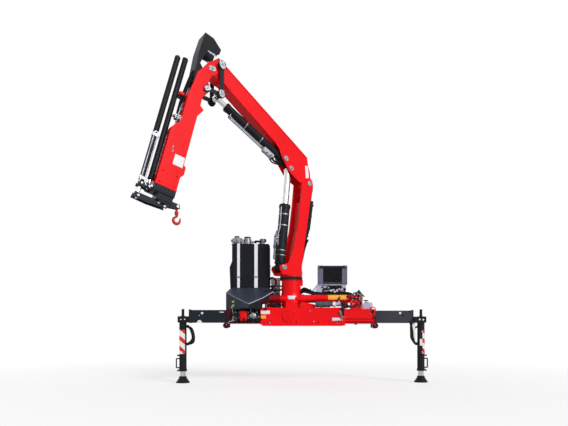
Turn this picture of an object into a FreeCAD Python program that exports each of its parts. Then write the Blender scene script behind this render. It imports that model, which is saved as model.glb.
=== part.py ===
import FreeCAD, Part
import math
import os

# Knuckle boom loader crane on two stabiliser legs, without the lorry it is made for.
# Lengths are in millimetres. The origin is the middle of the underside of the base,
# where the crane sits on a chassis. X runs across the chassis, Y along it, Z up.
# The boom lies in a plane of its own through the slewing axis. In that plane a place
# is (reach, side, height), and along the outer boom it is (down, out) from the knuckle.

V = FreeCAD.Vector

# Where things stand
COLUMN_X = -140.0
SLEW_TURN = 212.0
OUTER_TILT = 16.0

# Fits
PIN_FIT = 0.1
SEAT_GAP = 0.3
SLIDE_GAP = 6.0

# Base and stabilisers
BEAM_SIZE = 178.0
BEAM_WALL = 8.0
HOUSING_LEFT, HOUSING_RIGHT = -1020.0, 1035.0
HOUSING_WALL, HOUSING_FLOOR, HOUSING_MIDDLE = 7.0, 6.5, 10.0
BEAM_Y = BEAM_SIZE / 2 + SLIDE_GAP + HOUSING_MIDDLE / 2
HOUSING_HALF_DEPTH = BEAM_Y + BEAM_SIZE / 2 + SLIDE_GAP + HOUSING_WALL
HOUSING_BOTTOM = 30.0
HOUSING_TOP = HOUSING_BOTTOM + BEAM_SIZE + 2 * (SLIDE_GAP + HOUSING_FLOOR)
BASE_LEFT, BASE_RIGHT = -553.0, 609.0
BASE_WALL, FOOT_LEDGE, FOOT_THICK = 48.0, 40.0, 27.0
BASE_HALF_DEPTH = HOUSING_HALF_DEPTH + BASE_WALL
FOOT_HALF_DEPTH = BASE_HALF_DEPTH + FOOT_LEDGE
STUD_HALF_X = 440.0
STUD_HALF_Y = BASE_HALF_DEPTH + FOOT_LEDGE / 2
STUD_HOLE_R = 11.0
BASE_ROOF = 19.0
BASE_HEIGHT = HOUSING_TOP + BASE_ROOF
BOSS_SHIFT, BOSS_Z, BOSS_R, BOSS_THICK = -34.0, 140.0, 95.0, 14.0
HOUSING_RIB_Z, HOUSING_RIB_DEPTH = (66.0, 92.0), 7.0
HOUSING_FLANGE, HOUSING_FLANGE_DEPTH = 18.0, 16.0
BEAM_LENGTH = 1560.0
LEFT_BEAM_END = -1575.0
RIGHT_BEAM_END = 1615.0
ROLLER_R = 40.0

# Legs
LEFT_LEG_STAND, RIGHT_LEG_STAND = 114.0, 123.0
LEFT_LEG_X, LEFT_LEG_Y = LEFT_BEAM_END - LEFT_LEG_STAND, -90.0
RIGHT_LEG_X, RIGHT_LEG_Y = RIGHT_BEAM_END + RIGHT_LEG_STAND, 20.0
LEG_R = 52.0
LEG_BORE = 40.3
LEG_TOP, LEG_BOTTOM = 130.0, -647.0
LEG_ROD_R = 40.0
LOOP_TOP, LOOP_BOTTOM, LOOP_REACH, LOOP_R = -12.0, -262.0, 96.0, 13.0
PAD_R, PAD_NECK_R = 96.0, 52.0
PAD_TOP, FLOOR = -740.0, -816.0

# Column
POST_R, POST_WALL = 138.0, 20.0
POST_TOP = 676.0
RING_R, RING_TOP = 160.0, 698.0
RING_GAP = 0.5
SPIGOT_R = 95.0
SPIGOT_LENGTH = 270.0
CHEEK_IN, CHEEK_OUT = 98.0, 120.0
PIVOT = (-230.0, 2058.0)
PIVOT_PIN_R = 30.0
PIVOT_BOSS_R = 74.0
LIFT_BASE = (200.0, 822.0)
LIFT_BASE_PIN_R = 28.0
RACK_Y, RACK_Z, RACK_R = 95.0, BASE_HEIGHT + 137.0, 45.0
RACK_LEFT, RACK_RIGHT = -559.0, 868.0

# Cylinders: barrel, bore and rod radius
LIFT_HEAD = (58.0, 2245.0)
LIFT_BARREL_R, LIFT_BORE_R, LIFT_ROD_R = 75.0, 62.0, 50.0
LIFT_BARREL_LENGTH, LIFT_ROD_LENGTH = 915.0, 1000.0
FOLD_BASE = (147.0, 2368.0)
FOLD_BARREL_R, FOLD_BORE_R, FOLD_ROD_R = 56.0, 46.0, 32.0
FOLD_BARREL_LENGTH, FOLD_ROD_LENGTH = 1070.0, 1060.0
CYLINDER_PIN_R = 27.0
GLAND_LENGTH = 60.0
EYE_HALF = 38.0

# Booms
BOOM_HALF = 92.0
BOOM_WALL = 8.0
KNUCKLE = (1294.0, 3345.0)
KNUCKLE_R, KNUCKLE_PIN_R = 90.0, 30.0
LINK_TOP = (1177.0, 3406.0)
LINK_LOW = (1185.0, 3022.0)
LINK_OUT = (1374.0, 3061.0)
LINK_PIN_R = 27.0
OUTER_IN, OUTER_OUT = 98.0, 110.0
OUTER_END = 1750.0
LINK_PLANE_A = (116.0, 136.0)
LINK_PLANE_B = (142.0, 162.0)
STAGES = [
    # low side, high side, half width, wall, inner end, tip, collar low, high, half, length
    (36.0, 194.0, 92.0, 7.0, 340.0, 1838.0, 16.0, 300.0, 112.0, 85.0),
    (50.0, 180.0, 78.0, 6.0, 380.0, 1925.0, 24.0, 232.0, 98.0, 84.0),
]
EXTENSION_BARREL_R, EXTENSION_BORE_R, EXTENSION_ROD_R = 36.0, 29.0, 22.0
EXTENSION_PISTON = (500.0, 530.0)
CYLINDER_1_OUT, CYLINDER_2_OUT = 340.0, 440.0
HOOK_PIN, HOOK_PIN_R = (1894.0, -74.0), 12.0
SWIVEL_DROP, SWIVEL_HEIGHT, HOOK_GAP = 62.0, 26.0, 3.0
SWIVEL_R = 26.0
HOOK_DROP, HOOK_R, HOOK_THICK, SHANK_R = 171.0, 44.0, 16.0, 13.0

# Valves and pipes on the cylinders
# start and end along the cylinder, how far it stands out, half its width, where its pipes end
LIFT_VALVE = (270.0, 470.0, 40.0, 30.0, 120.0)
FOLD_VALVE = (150.0, 330.0, 58.0, 30.0, 960.0)
PIPE_R = 9.0
EXTENSION_PIPES = (1150.0, 1735.0, (418.0, 462.0))

# Tank
TANK_LEFT, TANK_STEP, TANK_RIGHT = -1040.0, -1004.0, -452.0
TANK_FRONT, TANK_BACK = 60.0, 340.0
TANK_BOTTOM, TANK_SHOULDER, TANK_TOP = 470.0, 915.0, 1193.0
TANK_EDGE = 26.0
STRAPS = ((-907.0, 40.0), (-652.0, 50.0))
STRAP_THICK = 5.0
CRADLE_THICK = 25.0
CAP_Y = 190.0

# Cooler
COOLER_LEFT, COOLER_RIGHT = 242.0, 663.0
COOLER_HALF_DEPTH = 60.0
COOLER_BOTTOM, COOLER_TOP = 593.0, 861.0
COOLER_RIM, CORE_RECESS = 62.0, 22.0
SHELF_THICK = 13.0

# Valve bank
BANK_LEFT, BANK_RIGHT = -950.0, -600.0
BANK_BOTTOM, BANK_TOP = 60.0, 180.0
BANK_STAND, BANK_DEPTH = BASE_HALF_DEPTH - HOUSING_HALF_DEPTH, 50.0
LEVER_COUNT, LEVER_PITCH = 6, 58.0
LOCK_LEFT, LOCK_RIGHT = -505.0, 562.0
LOCK_RISE = 75.0


# Frames

def st(down, out):
    """Reach and height of a place on the outer boom."""
    tilt = math.radians(OUTER_TILT)
    reach = KNUCKLE[0] + down * math.sin(tilt) + out * math.cos(tilt)
    height = KNUCKLE[1] - down * math.cos(tilt) + out * math.sin(tilt)
    return (reach, height)


def to_world(shape):
    """Turn a piece of the boom system from the boom plane into the object's frame."""
    moved = shape.copy()
    turn = FreeCAD.Rotation(V(0, 0, 1), SLEW_TURN)
    moved.Placement = FreeCAD.Placement(V(COLUMN_X, 0, 0), turn).multiply(moved.Placement)
    return moved


# Shapes

def box(x0, x1, y0, y1, z0, z1):
    return Part.makeBox(x1 - x0, y1 - y0, z1 - z0, V(x0, y0, z0))


def plate(outline, side_a, side_b):
    """An outline of (x, z) points, thick from side_a to side_b along Y."""
    points = [V(x, side_a, z) for x, z in outline]
    points.append(points[0])
    face = Part.Face(Part.makePolygon(points))
    return face.extrude(V(0, side_b - side_a, 0))


def slab(outline, z0, z1):
    """An outline of (x, y) points, thick from z0 to z1."""
    points = [V(x, y, z0) for x, y in outline]
    points.append(points[0])
    return Part.Face(Part.makePolygon(points)).extrude(V(0, 0, z1 - z0))


def across(place, radius, side_a, side_b):
    """A round bar across the boom plane, or along Y on the base."""
    return Part.makeCylinder(radius, side_b - side_a, V(place[0], side_a, place[1]), V(0, 1, 0))


def upright(x, y, radius, z0, z1):
    return Part.makeCylinder(radius, z1 - z0, V(x, y, z0))


def rod(start, end, radius):
    axis = end - start
    return Part.makeCylinder(radius, axis.Length, start, axis)


def swept(places, radius):
    """A round bar along the arc through three places."""
    start, middle, end = [V(*place) for place in places]
    arc = Part.Arc(start, middle, end)
    section = Part.Wire([Part.Circle(start, arc.tangent(arc.FirstParameter)[0], radius).toShape()])
    return Part.Wire([arc.toShape()]).makePipeShell([section], True, True)


def fuse(shapes):
    whole = shapes[0].multiFuse(shapes[1:]) if len(shapes) > 1 else shapes[0]
    return whole.removeSplitter()


def pair(make, near, far):
    """The same piece on both sides of the boom plane."""
    return [make(near, far), make(-far, -near)]


def along(base, head, distance):
    """A place on the line from base to head, distance from base."""
    length = math.hypot(head[0] - base[0], head[1] - base[1])
    share = distance / length
    return (base[0] + (head[0] - base[0]) * share, base[1] + (head[1] - base[1]) * share)


def v(place, side=0.0):
    return V(place[0], side, place[1])


parts = {}


def keep(name, shape):
    parts[name] = shape


def keep_boom(name, shape):
    parts[name] = to_world(shape)


# Base

def base_frame():
    walls = box(BASE_LEFT, BASE_RIGHT, -BASE_HALF_DEPTH, BASE_HALF_DEPTH, 0, BASE_HEIGHT)
    foot = box(BASE_LEFT, BASE_RIGHT, -FOOT_HALF_DEPTH, FOOT_HALF_DEPTH, 0, FOOT_THICK)
    tunnel = box(BASE_LEFT - 1, BASE_RIGHT + 1, -HOUSING_HALF_DEPTH, HOUSING_HALF_DEPTH,
                 HOUSING_BOTTOM, HOUSING_TOP)
    frame = fuse([walls, foot]).cut(tunnel)
    for x in (-STUD_HALF_X, STUD_HALF_X):
        for y in (-STUD_HALF_Y, STUD_HALF_Y):
            frame = frame.cut(upright(x, y, STUD_HOLE_R, -1, FOOT_THICK + 1))
    boss = across((COLUMN_X + BOSS_SHIFT, BOSS_Z), BOSS_R,
                  -BASE_HALF_DEPTH - BOSS_THICK, -BASE_HALF_DEPTH)
    return fuse([frame, boss])


def channel(side, grow=0.0):
    """The space for one beam in the housing, or the beam's outline if grow is 0."""
    half = BEAM_SIZE / 2 + grow
    middle_z = (HOUSING_BOTTOM + HOUSING_TOP) / 2
    return (side * BEAM_Y - half, side * BEAM_Y + half, middle_z - half, middle_z + half)


def stabiliser_housing():
    """The housing's three upright walls. The front one has a rib and an end flange."""
    inner, outer, low, high = channel(1, SLIDE_GAP)
    walls = [box(HOUSING_LEFT, HOUSING_RIGHT, y0, y1, low, high)
             for y0, y1 in ((-HOUSING_HALF_DEPTH, -outer), (-inner, inner), (outer, HOUSING_HALF_DEPTH))]
    front = -HOUSING_HALF_DEPTH
    rib = box(BASE_RIGHT + 1, HOUSING_RIGHT, front - HOUSING_RIB_DEPTH, front, *HOUSING_RIB_Z)
    flange = box(HOUSING_RIGHT - HOUSING_FLANGE, HOUSING_RIGHT, front - HOUSING_FLANGE_DEPTH, front,
                 HOUSING_BOTTOM, HOUSING_TOP)
    walls[0] = fuse([walls[0], rib, flange])
    return Part.makeCompound(walls)


def housing_plates():
    """The housing's floor and roof."""
    low, high = channel(1, SLIDE_GAP)[2:]
    depth = HOUSING_HALF_DEPTH
    return Part.makeCompound([box(HOUSING_LEFT, HOUSING_RIGHT, -depth, depth, z0, z1)
                              for z0, z1 in ((HOUSING_BOTTOM, low), (high, HOUSING_TOP))])


def beam_rollers():
    """A roller under each beam where it leaves the housing, on two ears."""
    pieces = []
    for side, end, out in ((-1, HOUSING_LEFT, -1), (1, HOUSING_RIGHT, 1)):
        y0, y1, z0, z1 = channel(side)
        x = end + out * (ROLLER_R + 8)
        z = z0 - SEAT_GAP - ROLLER_R
        roller = across((x, z), ROLLER_R, y0 + 10, y1 - 10)
        for y in (y0 - 8, y1 - 10):
            ear = box(min(end, x) - (22 if out < 0 else 0), max(end, x) + (22 if out > 0 else 0),
                      y, y + 18, z - 26, HOUSING_BOTTOM + 4)
            roller = fuse([roller, ear])
        pieces.append(roller)
    return Part.makeCompound(pieces)


def beam(side, end, out):
    y0, y1, z0, z1 = channel(side)
    x0, x1 = sorted((end, end - out * BEAM_LENGTH))
    tube = box(x0, x1, y0, y1, z0, z1)
    hollow = box(x0 - 1, x1 + 1, y0 + BEAM_WALL, y1 - BEAM_WALL, z0 + BEAM_WALL, z1 - BEAM_WALL)
    cap = box(min(end, end + out * 14), max(end, end + out * 14), y0 - 6, y1 + 6, z0 - 4, z1 + 10)
    return fuse([tube.cut(hollow), cap])


def leg_tube(x, y, end, out, beam_y):
    """The leg's outer tube, its clamp to the beam's end plate, and its stub on top."""
    tube = upright(x, y, LEG_R, LEG_BOTTOM, LEG_TOP)
    clamp_out = x + out * (LEG_R + 12)
    face = end + out * 14
    clamp = box(min(face, clamp_out), max(face, clamp_out),
                min(y, beam_y) - 62, max(y, beam_y) + 62, 45, LEG_TOP + 2)
    stub = upright(x, y, 20, LEG_TOP, 238)
    foot_ring = upright(x, y, LEG_R + 6, LEG_BOTTOM, LEG_BOTTOM + 22)
    leg = fuse([tube, clamp, stub, foot_ring])
    return leg.cut(upright(x, y, LEG_BORE, LEG_BOTTOM - 1, LEG_TOP - 30))


def leg_trim(x, y, out):
    """Striped plate, handle and hose loop on a leg."""
    front = y - LEG_R
    sign = box(x - 40, x + 40, front - 9, front - 5, -400, -60)
    bracket = box(x - 12, x + 12, front - 5, front + 12, -360, -100)
    grip_x = x + out * (LEG_R + 42)
    grip = rod(V(grip_x, y, -600), V(grip_x, y, -470), 9)
    for z in (-600, -470):
        grip = fuse([grip, rod(V(x + out * (LEG_R - 6), y, z), V(grip_x, y, z), 9)])
    tube = upright(x, y, LEG_R, LEG_BOTTOM, LEG_TOP)
    inner = x - out * (LEG_R - 4)
    loop = swept([(inner, y, LOOP_TOP), (inner - out * LOOP_REACH, y, (LOOP_TOP + LOOP_BOTTOM) / 2),
                  (inner, y, LOOP_BOTTOM)], LOOP_R)
    return Part.makeCompound([piece.cut(tube) for piece in (fuse([sign, bracket]), grip, loop)])


def leg_rod(x, y):
    stem = upright(x, y, LEG_ROD_R, PAD_TOP - 4, 40)
    ball = Part.makeSphere(34, V(x, y, PAD_TOP - 4))
    return fuse([stem, ball])


def leg_pad(x, y):
    cone = Part.makeCone(PAD_R, PAD_NECK_R, PAD_TOP - FLOOR - 14, V(x, y, FLOOR + 14))
    disc = upright(x, y, PAD_R, FLOOR, FLOOR + 14)
    pad = fuse([cone, disc])
    return pad.cut(Part.makeSphere(34, V(x, y, PAD_TOP - 4))).cut(
        upright(x, y, LEG_ROD_R, PAD_TOP - 4, PAD_TOP + 1))


# Column

def column_post():
    post = upright(COLUMN_X, 0, POST_R, BASE_HEIGHT, POST_TOP)
    rib = slab([(COLUMN_X - 80, -BASE_HALF_DEPTH + 10), (COLUMN_X + 80, -BASE_HALF_DEPTH + 10),
                (COLUMN_X + 80, 0), (COLUMN_X - 80, 0)], BASE_HEIGHT, BASE_HEIGHT + 70)
    lug = box(COLUMN_X + POST_R - 10, COLUMN_X + POST_R + 30, -20, 20, POST_TOP - 100, POST_TOP - 14)
    post = fuse([post, rib, lug])
    bore = upright(COLUMN_X, 0, POST_R - POST_WALL, BASE_HEIGHT + 60, POST_TOP + 1)
    post = post.cut(bore)
    for y in (-RACK_Y, RACK_Y):
        post = post.cut(rod(V(RACK_LEFT, y, RACK_Z), V(RACK_RIGHT, y, RACK_Z), RACK_R + PIN_FIT))
    return post


def slew_rack_cylinders():
    pieces = []
    for y in (-RACK_Y, RACK_Y):
        barrel = rod(V(RACK_LEFT, y, RACK_Z), V(RACK_RIGHT, y, RACK_Z), RACK_R)
        for x in (RACK_LEFT + 60, RACK_RIGHT - 240):
            barrel = fuse([barrel, box(x, x + 40, y - 25, y + 25, BASE_HEIGHT, RACK_Z)])
        pieces.append(barrel)
    return Part.makeCompound(pieces)


def slew_ring():
    ring = upright(COLUMN_X, 0, RING_R, POST_TOP, RING_TOP)
    return ring.cut(upright(COLUMN_X, 0, SPIGOT_R + 1, POST_TOP - 1, RING_TOP + 1))


COLUMN_OUTLINE = [
    # reach, height, up the back and down the front
    (-110, 722), (-104, 858), (-155, 1208), (-256, 1841), (-300, 2040),
    (-292, 2092), (-252, 2126), (-208, 2126), (-168, 2098), (-111, 2062),
    (-82, 1761), (-32, 1383), (44, 1083), (122, 890), (180, 872), (253, 850),
    (268, 800), (240, 760), (219, 722),
]
COLUMN_CAVITY = [
    (-84, 780), (-84, 862), (-135, 1212), (-236, 1845), (-262, 2200),
    (-100, 2200), (-128, 1757), (-80, 1375), (0, 1072), (66, 880), (66, 780),
]


def column():
    body = plate(COLUMN_OUTLINE, -CHEEK_OUT, CHEEK_OUT)
    body = body.cut(plate(COLUMN_CAVITY, -CHEEK_IN, CHEEK_IN))
    # room for the boom's root at the top and for the lift cylinder at the foot
    body = body.cut(box(-400, 0, -CHEEK_IN, CHEEK_IN, 1935, 2400))
    foot_room = [(96, 748), (400, 748), (400, 2100), (-150, 2100), (-122, 1761),
                 (-74, 1379), (6, 1074), (72, 890)]
    body = body.cut(plate(foot_room, -CHEEK_IN, CHEEK_IN))
    flange = Part.makeCylinder(RING_R, 722 - RING_TOP - RING_GAP, V(0, 0, RING_TOP + RING_GAP))
    spigot = Part.makeCylinder(SPIGOT_R, SPIGOT_LENGTH, V(0, 0, 722 - SPIGOT_LENGTH))
    body = fuse([body, flange, spigot])
    body = body.cut(across(PIVOT, PIVOT_PIN_R, -200, 200))
    return body.cut(across(LIFT_BASE, LIFT_BASE_PIN_R, -200, 200))


def main_pivot_pin():
    return across(PIVOT, PIVOT_PIN_R, -CHEEK_OUT - 8, CHEEK_OUT + 8)


def lift_base_pin():
    return across(LIFT_BASE, LIFT_BASE_PIN_R, -CHEEK_OUT - 8, CHEEK_OUT + 8)


def column_hose_guard():
    outline = [(-254.3, 1830), (-198.4, 1480), (-157.7, 1225), (-225, 1240), (-290, 1420), (-350, 1830)]
    shell = plate(outline, -60, 60)
    inner = [(-240, 1818), (-190, 1480), (-150, 1240), (-222, 1258), (-278, 1426), (-336, 1818)]
    return shell.cut(plate(inner, -54, 54)).cut(plate(COLUMN_OUTLINE, -CHEEK_OUT, CHEEK_OUT))


# Cylinders

def cylinder_barrel(base, head, barrel_r, bore_r, rod_r, length, pin_r, eye_r):
    """A barrel from the pin at base towards head, with an eye, a bore and a gland."""
    start = along(base, head, eye_r - 6)
    end = along(base, head, length)
    barrel = fuse([rod(v(start), v(end), barrel_r), across(base, eye_r, -EYE_HALF - 16, EYE_HALF + 16)])
    bottom = along(base, head, eye_r + 34)
    gland = along(base, head, length - GLAND_LENGTH)
    barrel = barrel.cut(rod(v(bottom), v(gland), bore_r))
    barrel = barrel.cut(rod(v(gland), v(along(base, head, length + 5)), rod_r + SEAT_GAP))
    return barrel.cut(across(base, pin_r + PIN_FIT, -200, 200))


def cylinder_rod(base, head, rod_r, bore_r, rod_length, eye_r, pin_r):
    """A rod with its piston and its eye at head. A short pin fills the eye."""
    length = math.hypot(head[0] - base[0], head[1] - base[1])
    low = along(base, head, length - rod_length)
    piston = along(base, head, length - rod_length + 50)
    stem = rod(v(low), v(head), rod_r)
    shapes = [stem, rod(v(low), v(piston), bore_r - SEAT_GAP), across(head, eye_r, -EYE_HALF, EYE_HALF),
              across(head, pin_r, -EYE_HALF - 5, EYE_HALF + 5)]
    return fuse(shapes)


def cylinder_valve(base, head, barrel_r, valve):
    """A valve block on the barrel's outer side, with two pipes along the barrel."""
    start, end, depth, half, pipe_end = valve
    length = math.hypot(head[0] - base[0], head[1] - base[1])
    along_x, along_z = (head[0] - base[0]) / length, (head[1] - base[1]) / length

    def place(distance, off):
        return (base[0] + along_x * distance + along_z * off, base[1] + along_z * distance - along_x * off)

    low, high = barrel_r - 12, barrel_r + depth
    block = plate([place(start, low), place(end, low), place(end, high), place(start, high)], -half, half)
    pipes = [block]
    for side in (-half + PIPE_R, half - PIPE_R):
        off = barrel_r + 24
        far = end - 5 if pipe_end < start else start + 5
        pipes.append(rod(v(place(far, off), side), v(place(pipe_end, off), side), PIPE_R))
        pipes.append(rod(v(place(pipe_end, off), side), v(place(pipe_end, barrel_r - 20), side), PIPE_R))
    barrel = rod(v(base), v(head), barrel_r + 0.01)
    return fuse(pipes).cut(barrel)


# Inner boom

INNER_OUTLINE = [
    # reach, height, along the top to the knuckle and back below
    (-262, 2230), (-226, 2360), (-216, 2433), (1200, 3514), (1290, 3452), (1372, 3388),
    (1294, 3345), (1262, 3262), (1115, 3199), (330, 2575), (256, 2480), (205, 2360),
    (74, 2178), (-45, 2092), (-170, 2016), (-290, 2016),
]
INNER_CAVITY = [
    (-180, 2180), (-206, 2426), (1140, 3454), (1225, 3345), (1110, 3210), (330, 2590),
    (200, 2470), (60, 2000), (-100, 1980), (-150, 1960),
]


def inner_boom():
    body = plate(INNER_OUTLINE, -BOOM_HALF, BOOM_HALF)
    body = body.cut(plate(INNER_CAVITY, -BOOM_HALF + BOOM_WALL, BOOM_HALF - BOOM_WALL))
    # the underside of the root is open, so that the two cylinders reach between its sides
    open_root = [(-400, 1900), (400, 1900), (400, 2560), (300, 2560), (60, 2420), (-150, 2190),
                 (-400, 2190)]
    body = body.cut(plate(open_root, -BOOM_HALF + BOOM_WALL, BOOM_HALF - BOOM_WALL))
    shapes = [body]
    shapes.append(across(PIVOT, PIVOT_BOSS_R, -BOOM_HALF, BOOM_HALF))
    shapes.append(across(KNUCKLE, KNUCKLE_R, -BOOM_HALF, BOOM_HALF))
    body = fuse(shapes)
    body = body.cut(across(PIVOT, PIVOT_PIN_R + PIN_FIT, -200, 200))
    body = body.cut(across(KNUCKLE, KNUCKLE_PIN_R + PIN_FIT, -200, 200))
    body = body.cut(across(LINK_TOP, LINK_PIN_R, -200, 200))
    return body.cut(across(FOLD_BASE, CYLINDER_PIN_R, -200, 200))


def inner_boom_pins():
    top = across(LINK_TOP, LINK_PIN_R, -LINK_PLANE_B[1] - 6, LINK_PLANE_B[1] + 6)
    low = across(FOLD_BASE, CYLINDER_PIN_R, -BOOM_HALF - 5, BOOM_HALF + 5)
    return Part.makeCompound([top, low])


def lifting_eye():
    lug = plate([(-226, 2360), (-290, 2330), (-310, 2290), (-290, 2250), (-254, 2252)], -14, 14)
    lug = lug.cut(plate([(-262, 2230), (-226, 2360), (-100, 2360), (-100, 2230)], -20, 20))
    return lug.cut(across((-280, 2296), 13, -30, 30))


# Links

def bar(place_a, place_b, half, eye_r):
    """A link bar's outline as a function of its two sides."""
    length = math.hypot(place_b[0] - place_a[0], place_b[1] - place_a[1])
    dx, dz = (place_b[0] - place_a[0]) / length, (place_b[1] - place_a[1]) / length
    nx, nz = -dz * half, dx * half
    outline = [(place_a[0] + nx, place_a[1] + nz), (place_b[0] + nx, place_b[1] + nz),
               (place_b[0] - nx, place_b[1] - nz), (place_a[0] - nx, place_a[1] - nz)]

    def make(side_a, side_b):
        return fuse([plate(outline, side_a, side_b), across(place_a, eye_r, side_a, side_b),
                     across(place_b, eye_r, side_a, side_b)])
    return make


def knuckle_link_inner():
    """Two bars from the inner boom to the low pin, which is fixed in them."""
    pieces = []
    for near, far in (LINK_PLANE_B, (-LINK_PLANE_B[1], -LINK_PLANE_B[0])):
        one = bar(LINK_TOP, LINK_LOW, 28, 56)(near, far)
        one = one.cut(across(LINK_TOP, LINK_PIN_R + PIN_FIT, near - 1, far + 1))
        inner, outer = sorted((math.copysign(EYE_HALF + 10, near), math.copysign(168, near)))
        one = fuse([one, across(LINK_LOW, LINK_PIN_R, inner, outer)])
        pieces.append(one)
    return Part.makeCompound(pieces)


def knuckle_link_outer():
    """Two bars from the low pin to the outer boom, with their own short end pins."""
    pieces = []
    for near, far in (LINK_PLANE_A, (-LINK_PLANE_A[1], -LINK_PLANE_A[0])):
        one = bar(LINK_LOW, LINK_OUT, 26, 46)(near, far)
        one = one.cut(across(LINK_LOW, LINK_PIN_R + PIN_FIT, near - 1, far + 1))
        pieces.append(one)
    return Part.makeCompound(pieces)


# Outer boom, in (down, out) from the knuckle

OUTER_OUTLINE = [
    (0, 88), (144, 176), (327, 190), (480, 208), (860, 208), (985, 300), (OUTER_END, 300),
    (OUTER_END, 16), (1543, 16), (1508, -20), (1405, -20), (1380, 14), (697, 20),
    (583, -41), (545, 20), (352, 22), (318, -40), (272, -40), (200, 0), (88, -20), (-10, -86),
]


def outer_plate(outline, side_a, side_b):
    return plate([st(*point) for point in outline], side_a, side_b)


def outer_box(down_a, down_b, low, high, half):
    return outer_plate([(down_a, low), (down_b, low), (down_b, high), (down_a, high)], -half, half)


def outer_boom():
    body = outer_plate(OUTER_OUTLINE, -OUTER_OUT, OUTER_OUT)
    body = fuse([body, across(KNUCKLE, KNUCKLE_R, -OUTER_OUT, OUTER_OUT)])
    low, high, half = STAGES[0][0], STAGES[0][1], STAGES[0][2]
    # the tunnel for the first extension, then the gap for the inner boom's end
    body = body.cut(outer_box(250, OUTER_END + 1, low - SLIDE_GAP, high + SLIDE_GAP, OUTER_IN))
    body = body.cut(outer_box(-200, 260, -300, 162, OUTER_IN))
    body = body.cut(outer_plate([(-200, 100), (60, 100), (205, 170), (120, 300), (-200, 300)],
                                -OUTER_IN, OUTER_IN))
    body = body.cut(outer_box(1000, OUTER_END + 1, high + SLIDE_GAP + 8, 292, OUTER_IN))
    # wear pads at the mouth, a hair off the extension
    shapes = [body]
    for edge, step in ((low, -1), (high, 1)):
        a, b = sorted((edge + step * SEAT_GAP, edge + step * (SLIDE_GAP + 1)))
        shapes.append(outer_box(OUTER_END - 90, OUTER_END - 10, a, b, half - 20))
    body = fuse(shapes)
    return body.cut(across(KNUCKLE, KNUCKLE_PIN_R, -200, 200))


def knuckle_pin():
    return across(KNUCKLE, KNUCKLE_PIN_R, -OUTER_OUT, OUTER_OUT)


def extension_cylinder_1_barrel():
    barrel = rod(v(st(10, CYLINDER_1_OUT)), v(st(1700, CYLINDER_1_OUT)), EXTENSION_BARREL_R)
    feet = [outer_box(down, down + 40, low, CYLINDER_1_OUT, 20)
            for down, low in ((500, 208), (1020, 300), (1620, 300))]
    whole = fuse([barrel] + feet)
    return whole.cut(rod(v(st(60, CYLINDER_1_OUT)), v(st(1650, CYLINDER_1_OUT)), EXTENSION_BORE_R)).cut(
        rod(v(st(1640, CYLINDER_1_OUT)), v(st(1710, CYLINDER_1_OUT)), EXTENSION_ROD_R + SEAT_GAP))


def hose_guard():
    outline = [(-402, 217), (-145, 228), (300, 196), (300, 187.9), (144, 176), (60, 124.7), (15, 172),
               (-180, 130), (-200, -10), (-236, -40), (-300, -45), (-392, 90)]
    sides = pair(lambda near, far: outer_plate(outline, near, far), 100, 108)
    spine = outer_plate([(-402, 217), (-145, 228), (300, 196), (300, 188), (-145, 222), (-400, 211)],
                        -108, 108)
    return fuse(sides + [spine]).cut(outer_plate(OUTER_OUTLINE, -OUTER_OUT, OUTER_OUT))


def boom_valve():
    """A valve block on the outer boom's top, with its stubs."""
    block = outer_plate([(795, 208), (858, 208), (858, 288), (795, 288)], 42, 104)
    stubs = [rod(v(st(826, out), 60), v(st(826, out), 118), 13) for out in (232, 268)]
    stubs.append(rod(v(st(780, 248), 73), v(st(880, 248), 73), 13))
    return fuse([block] + stubs)


def extension(index):
    low, high, half, wall, inner, tip, clow, chigh, chalf, clen = STAGES[index]
    tube = outer_box(inner, tip, low, high, half)
    tube = tube.cut(outer_box(inner - 1, tip + 1, low + wall, high - wall, half - wall))
    collar = outer_box(tip - clen, tip, clow, chigh, chalf)
    collar = collar.cut(outer_box(tip - clen - 1, tip + 1, low + wall, high - wall, half - wall))
    shapes = [tube, collar]
    if index == 0:
        nlow, nhigh, nhalf = STAGES[1][0], STAGES[1][1], STAGES[1][2]
        for edge, step in ((nlow, -1), (nhigh, 1)):
            a, b = sorted((edge + step * SEAT_GAP, edge + step * (SLIDE_GAP + 2)))
            shapes.append(outer_box(tip - 80, tip - 10, a, b, nhalf - 20))
    return fuse(shapes)


def extension_1():
    tip = STAGES[0][5]
    shapes = [extension(0)]
    # arms for the first cylinder's rod and the second cylinder's barrel
    for near, far in ((44, 58), (-58, -44)):
        shapes.append(outer_plate([(tip - 70, 299), (tip, 299), (tip, 482), (tip - 40, 482),
                                   (tip - 70, 370)], near, far))
    return fuse(shapes)


def extension_cylinder_1_rod():
    tip = STAGES[0][5]
    head = st(tip - 34, CYLINDER_1_OUT)
    stem = rod(v(st(300, CYLINDER_1_OUT)), v(head), EXTENSION_ROD_R)
    piston = rod(v(st(300, CYLINDER_1_OUT)), v(st(330, CYLINDER_1_OUT)), EXTENSION_BORE_R - SEAT_GAP)
    return fuse([stem, piston, across(head, 28, -44, 44)])


def extension_cylinder_2_barrel():
    tip = STAGES[0][5]
    barrel = rod(v(st(42, CYLINDER_2_OUT)), v(st(tip, CYLINDER_2_OUT)), EXTENSION_BARREL_R)
    block = outer_box(tip - 36, tip - 6, CYLINDER_2_OUT - 30, CYLINDER_2_OUT + 30, 44)
    whole = fuse([barrel, block])
    whole = whole.cut(rod(v(st(90, CYLINDER_2_OUT)), v(st(tip - 60, CYLINDER_2_OUT)), EXTENSION_BORE_R))
    return whole.cut(rod(v(st(tip - 70, CYLINDER_2_OUT)), v(st(tip + 5, CYLINDER_2_OUT)),
                         EXTENSION_ROD_R + SEAT_GAP))


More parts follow.
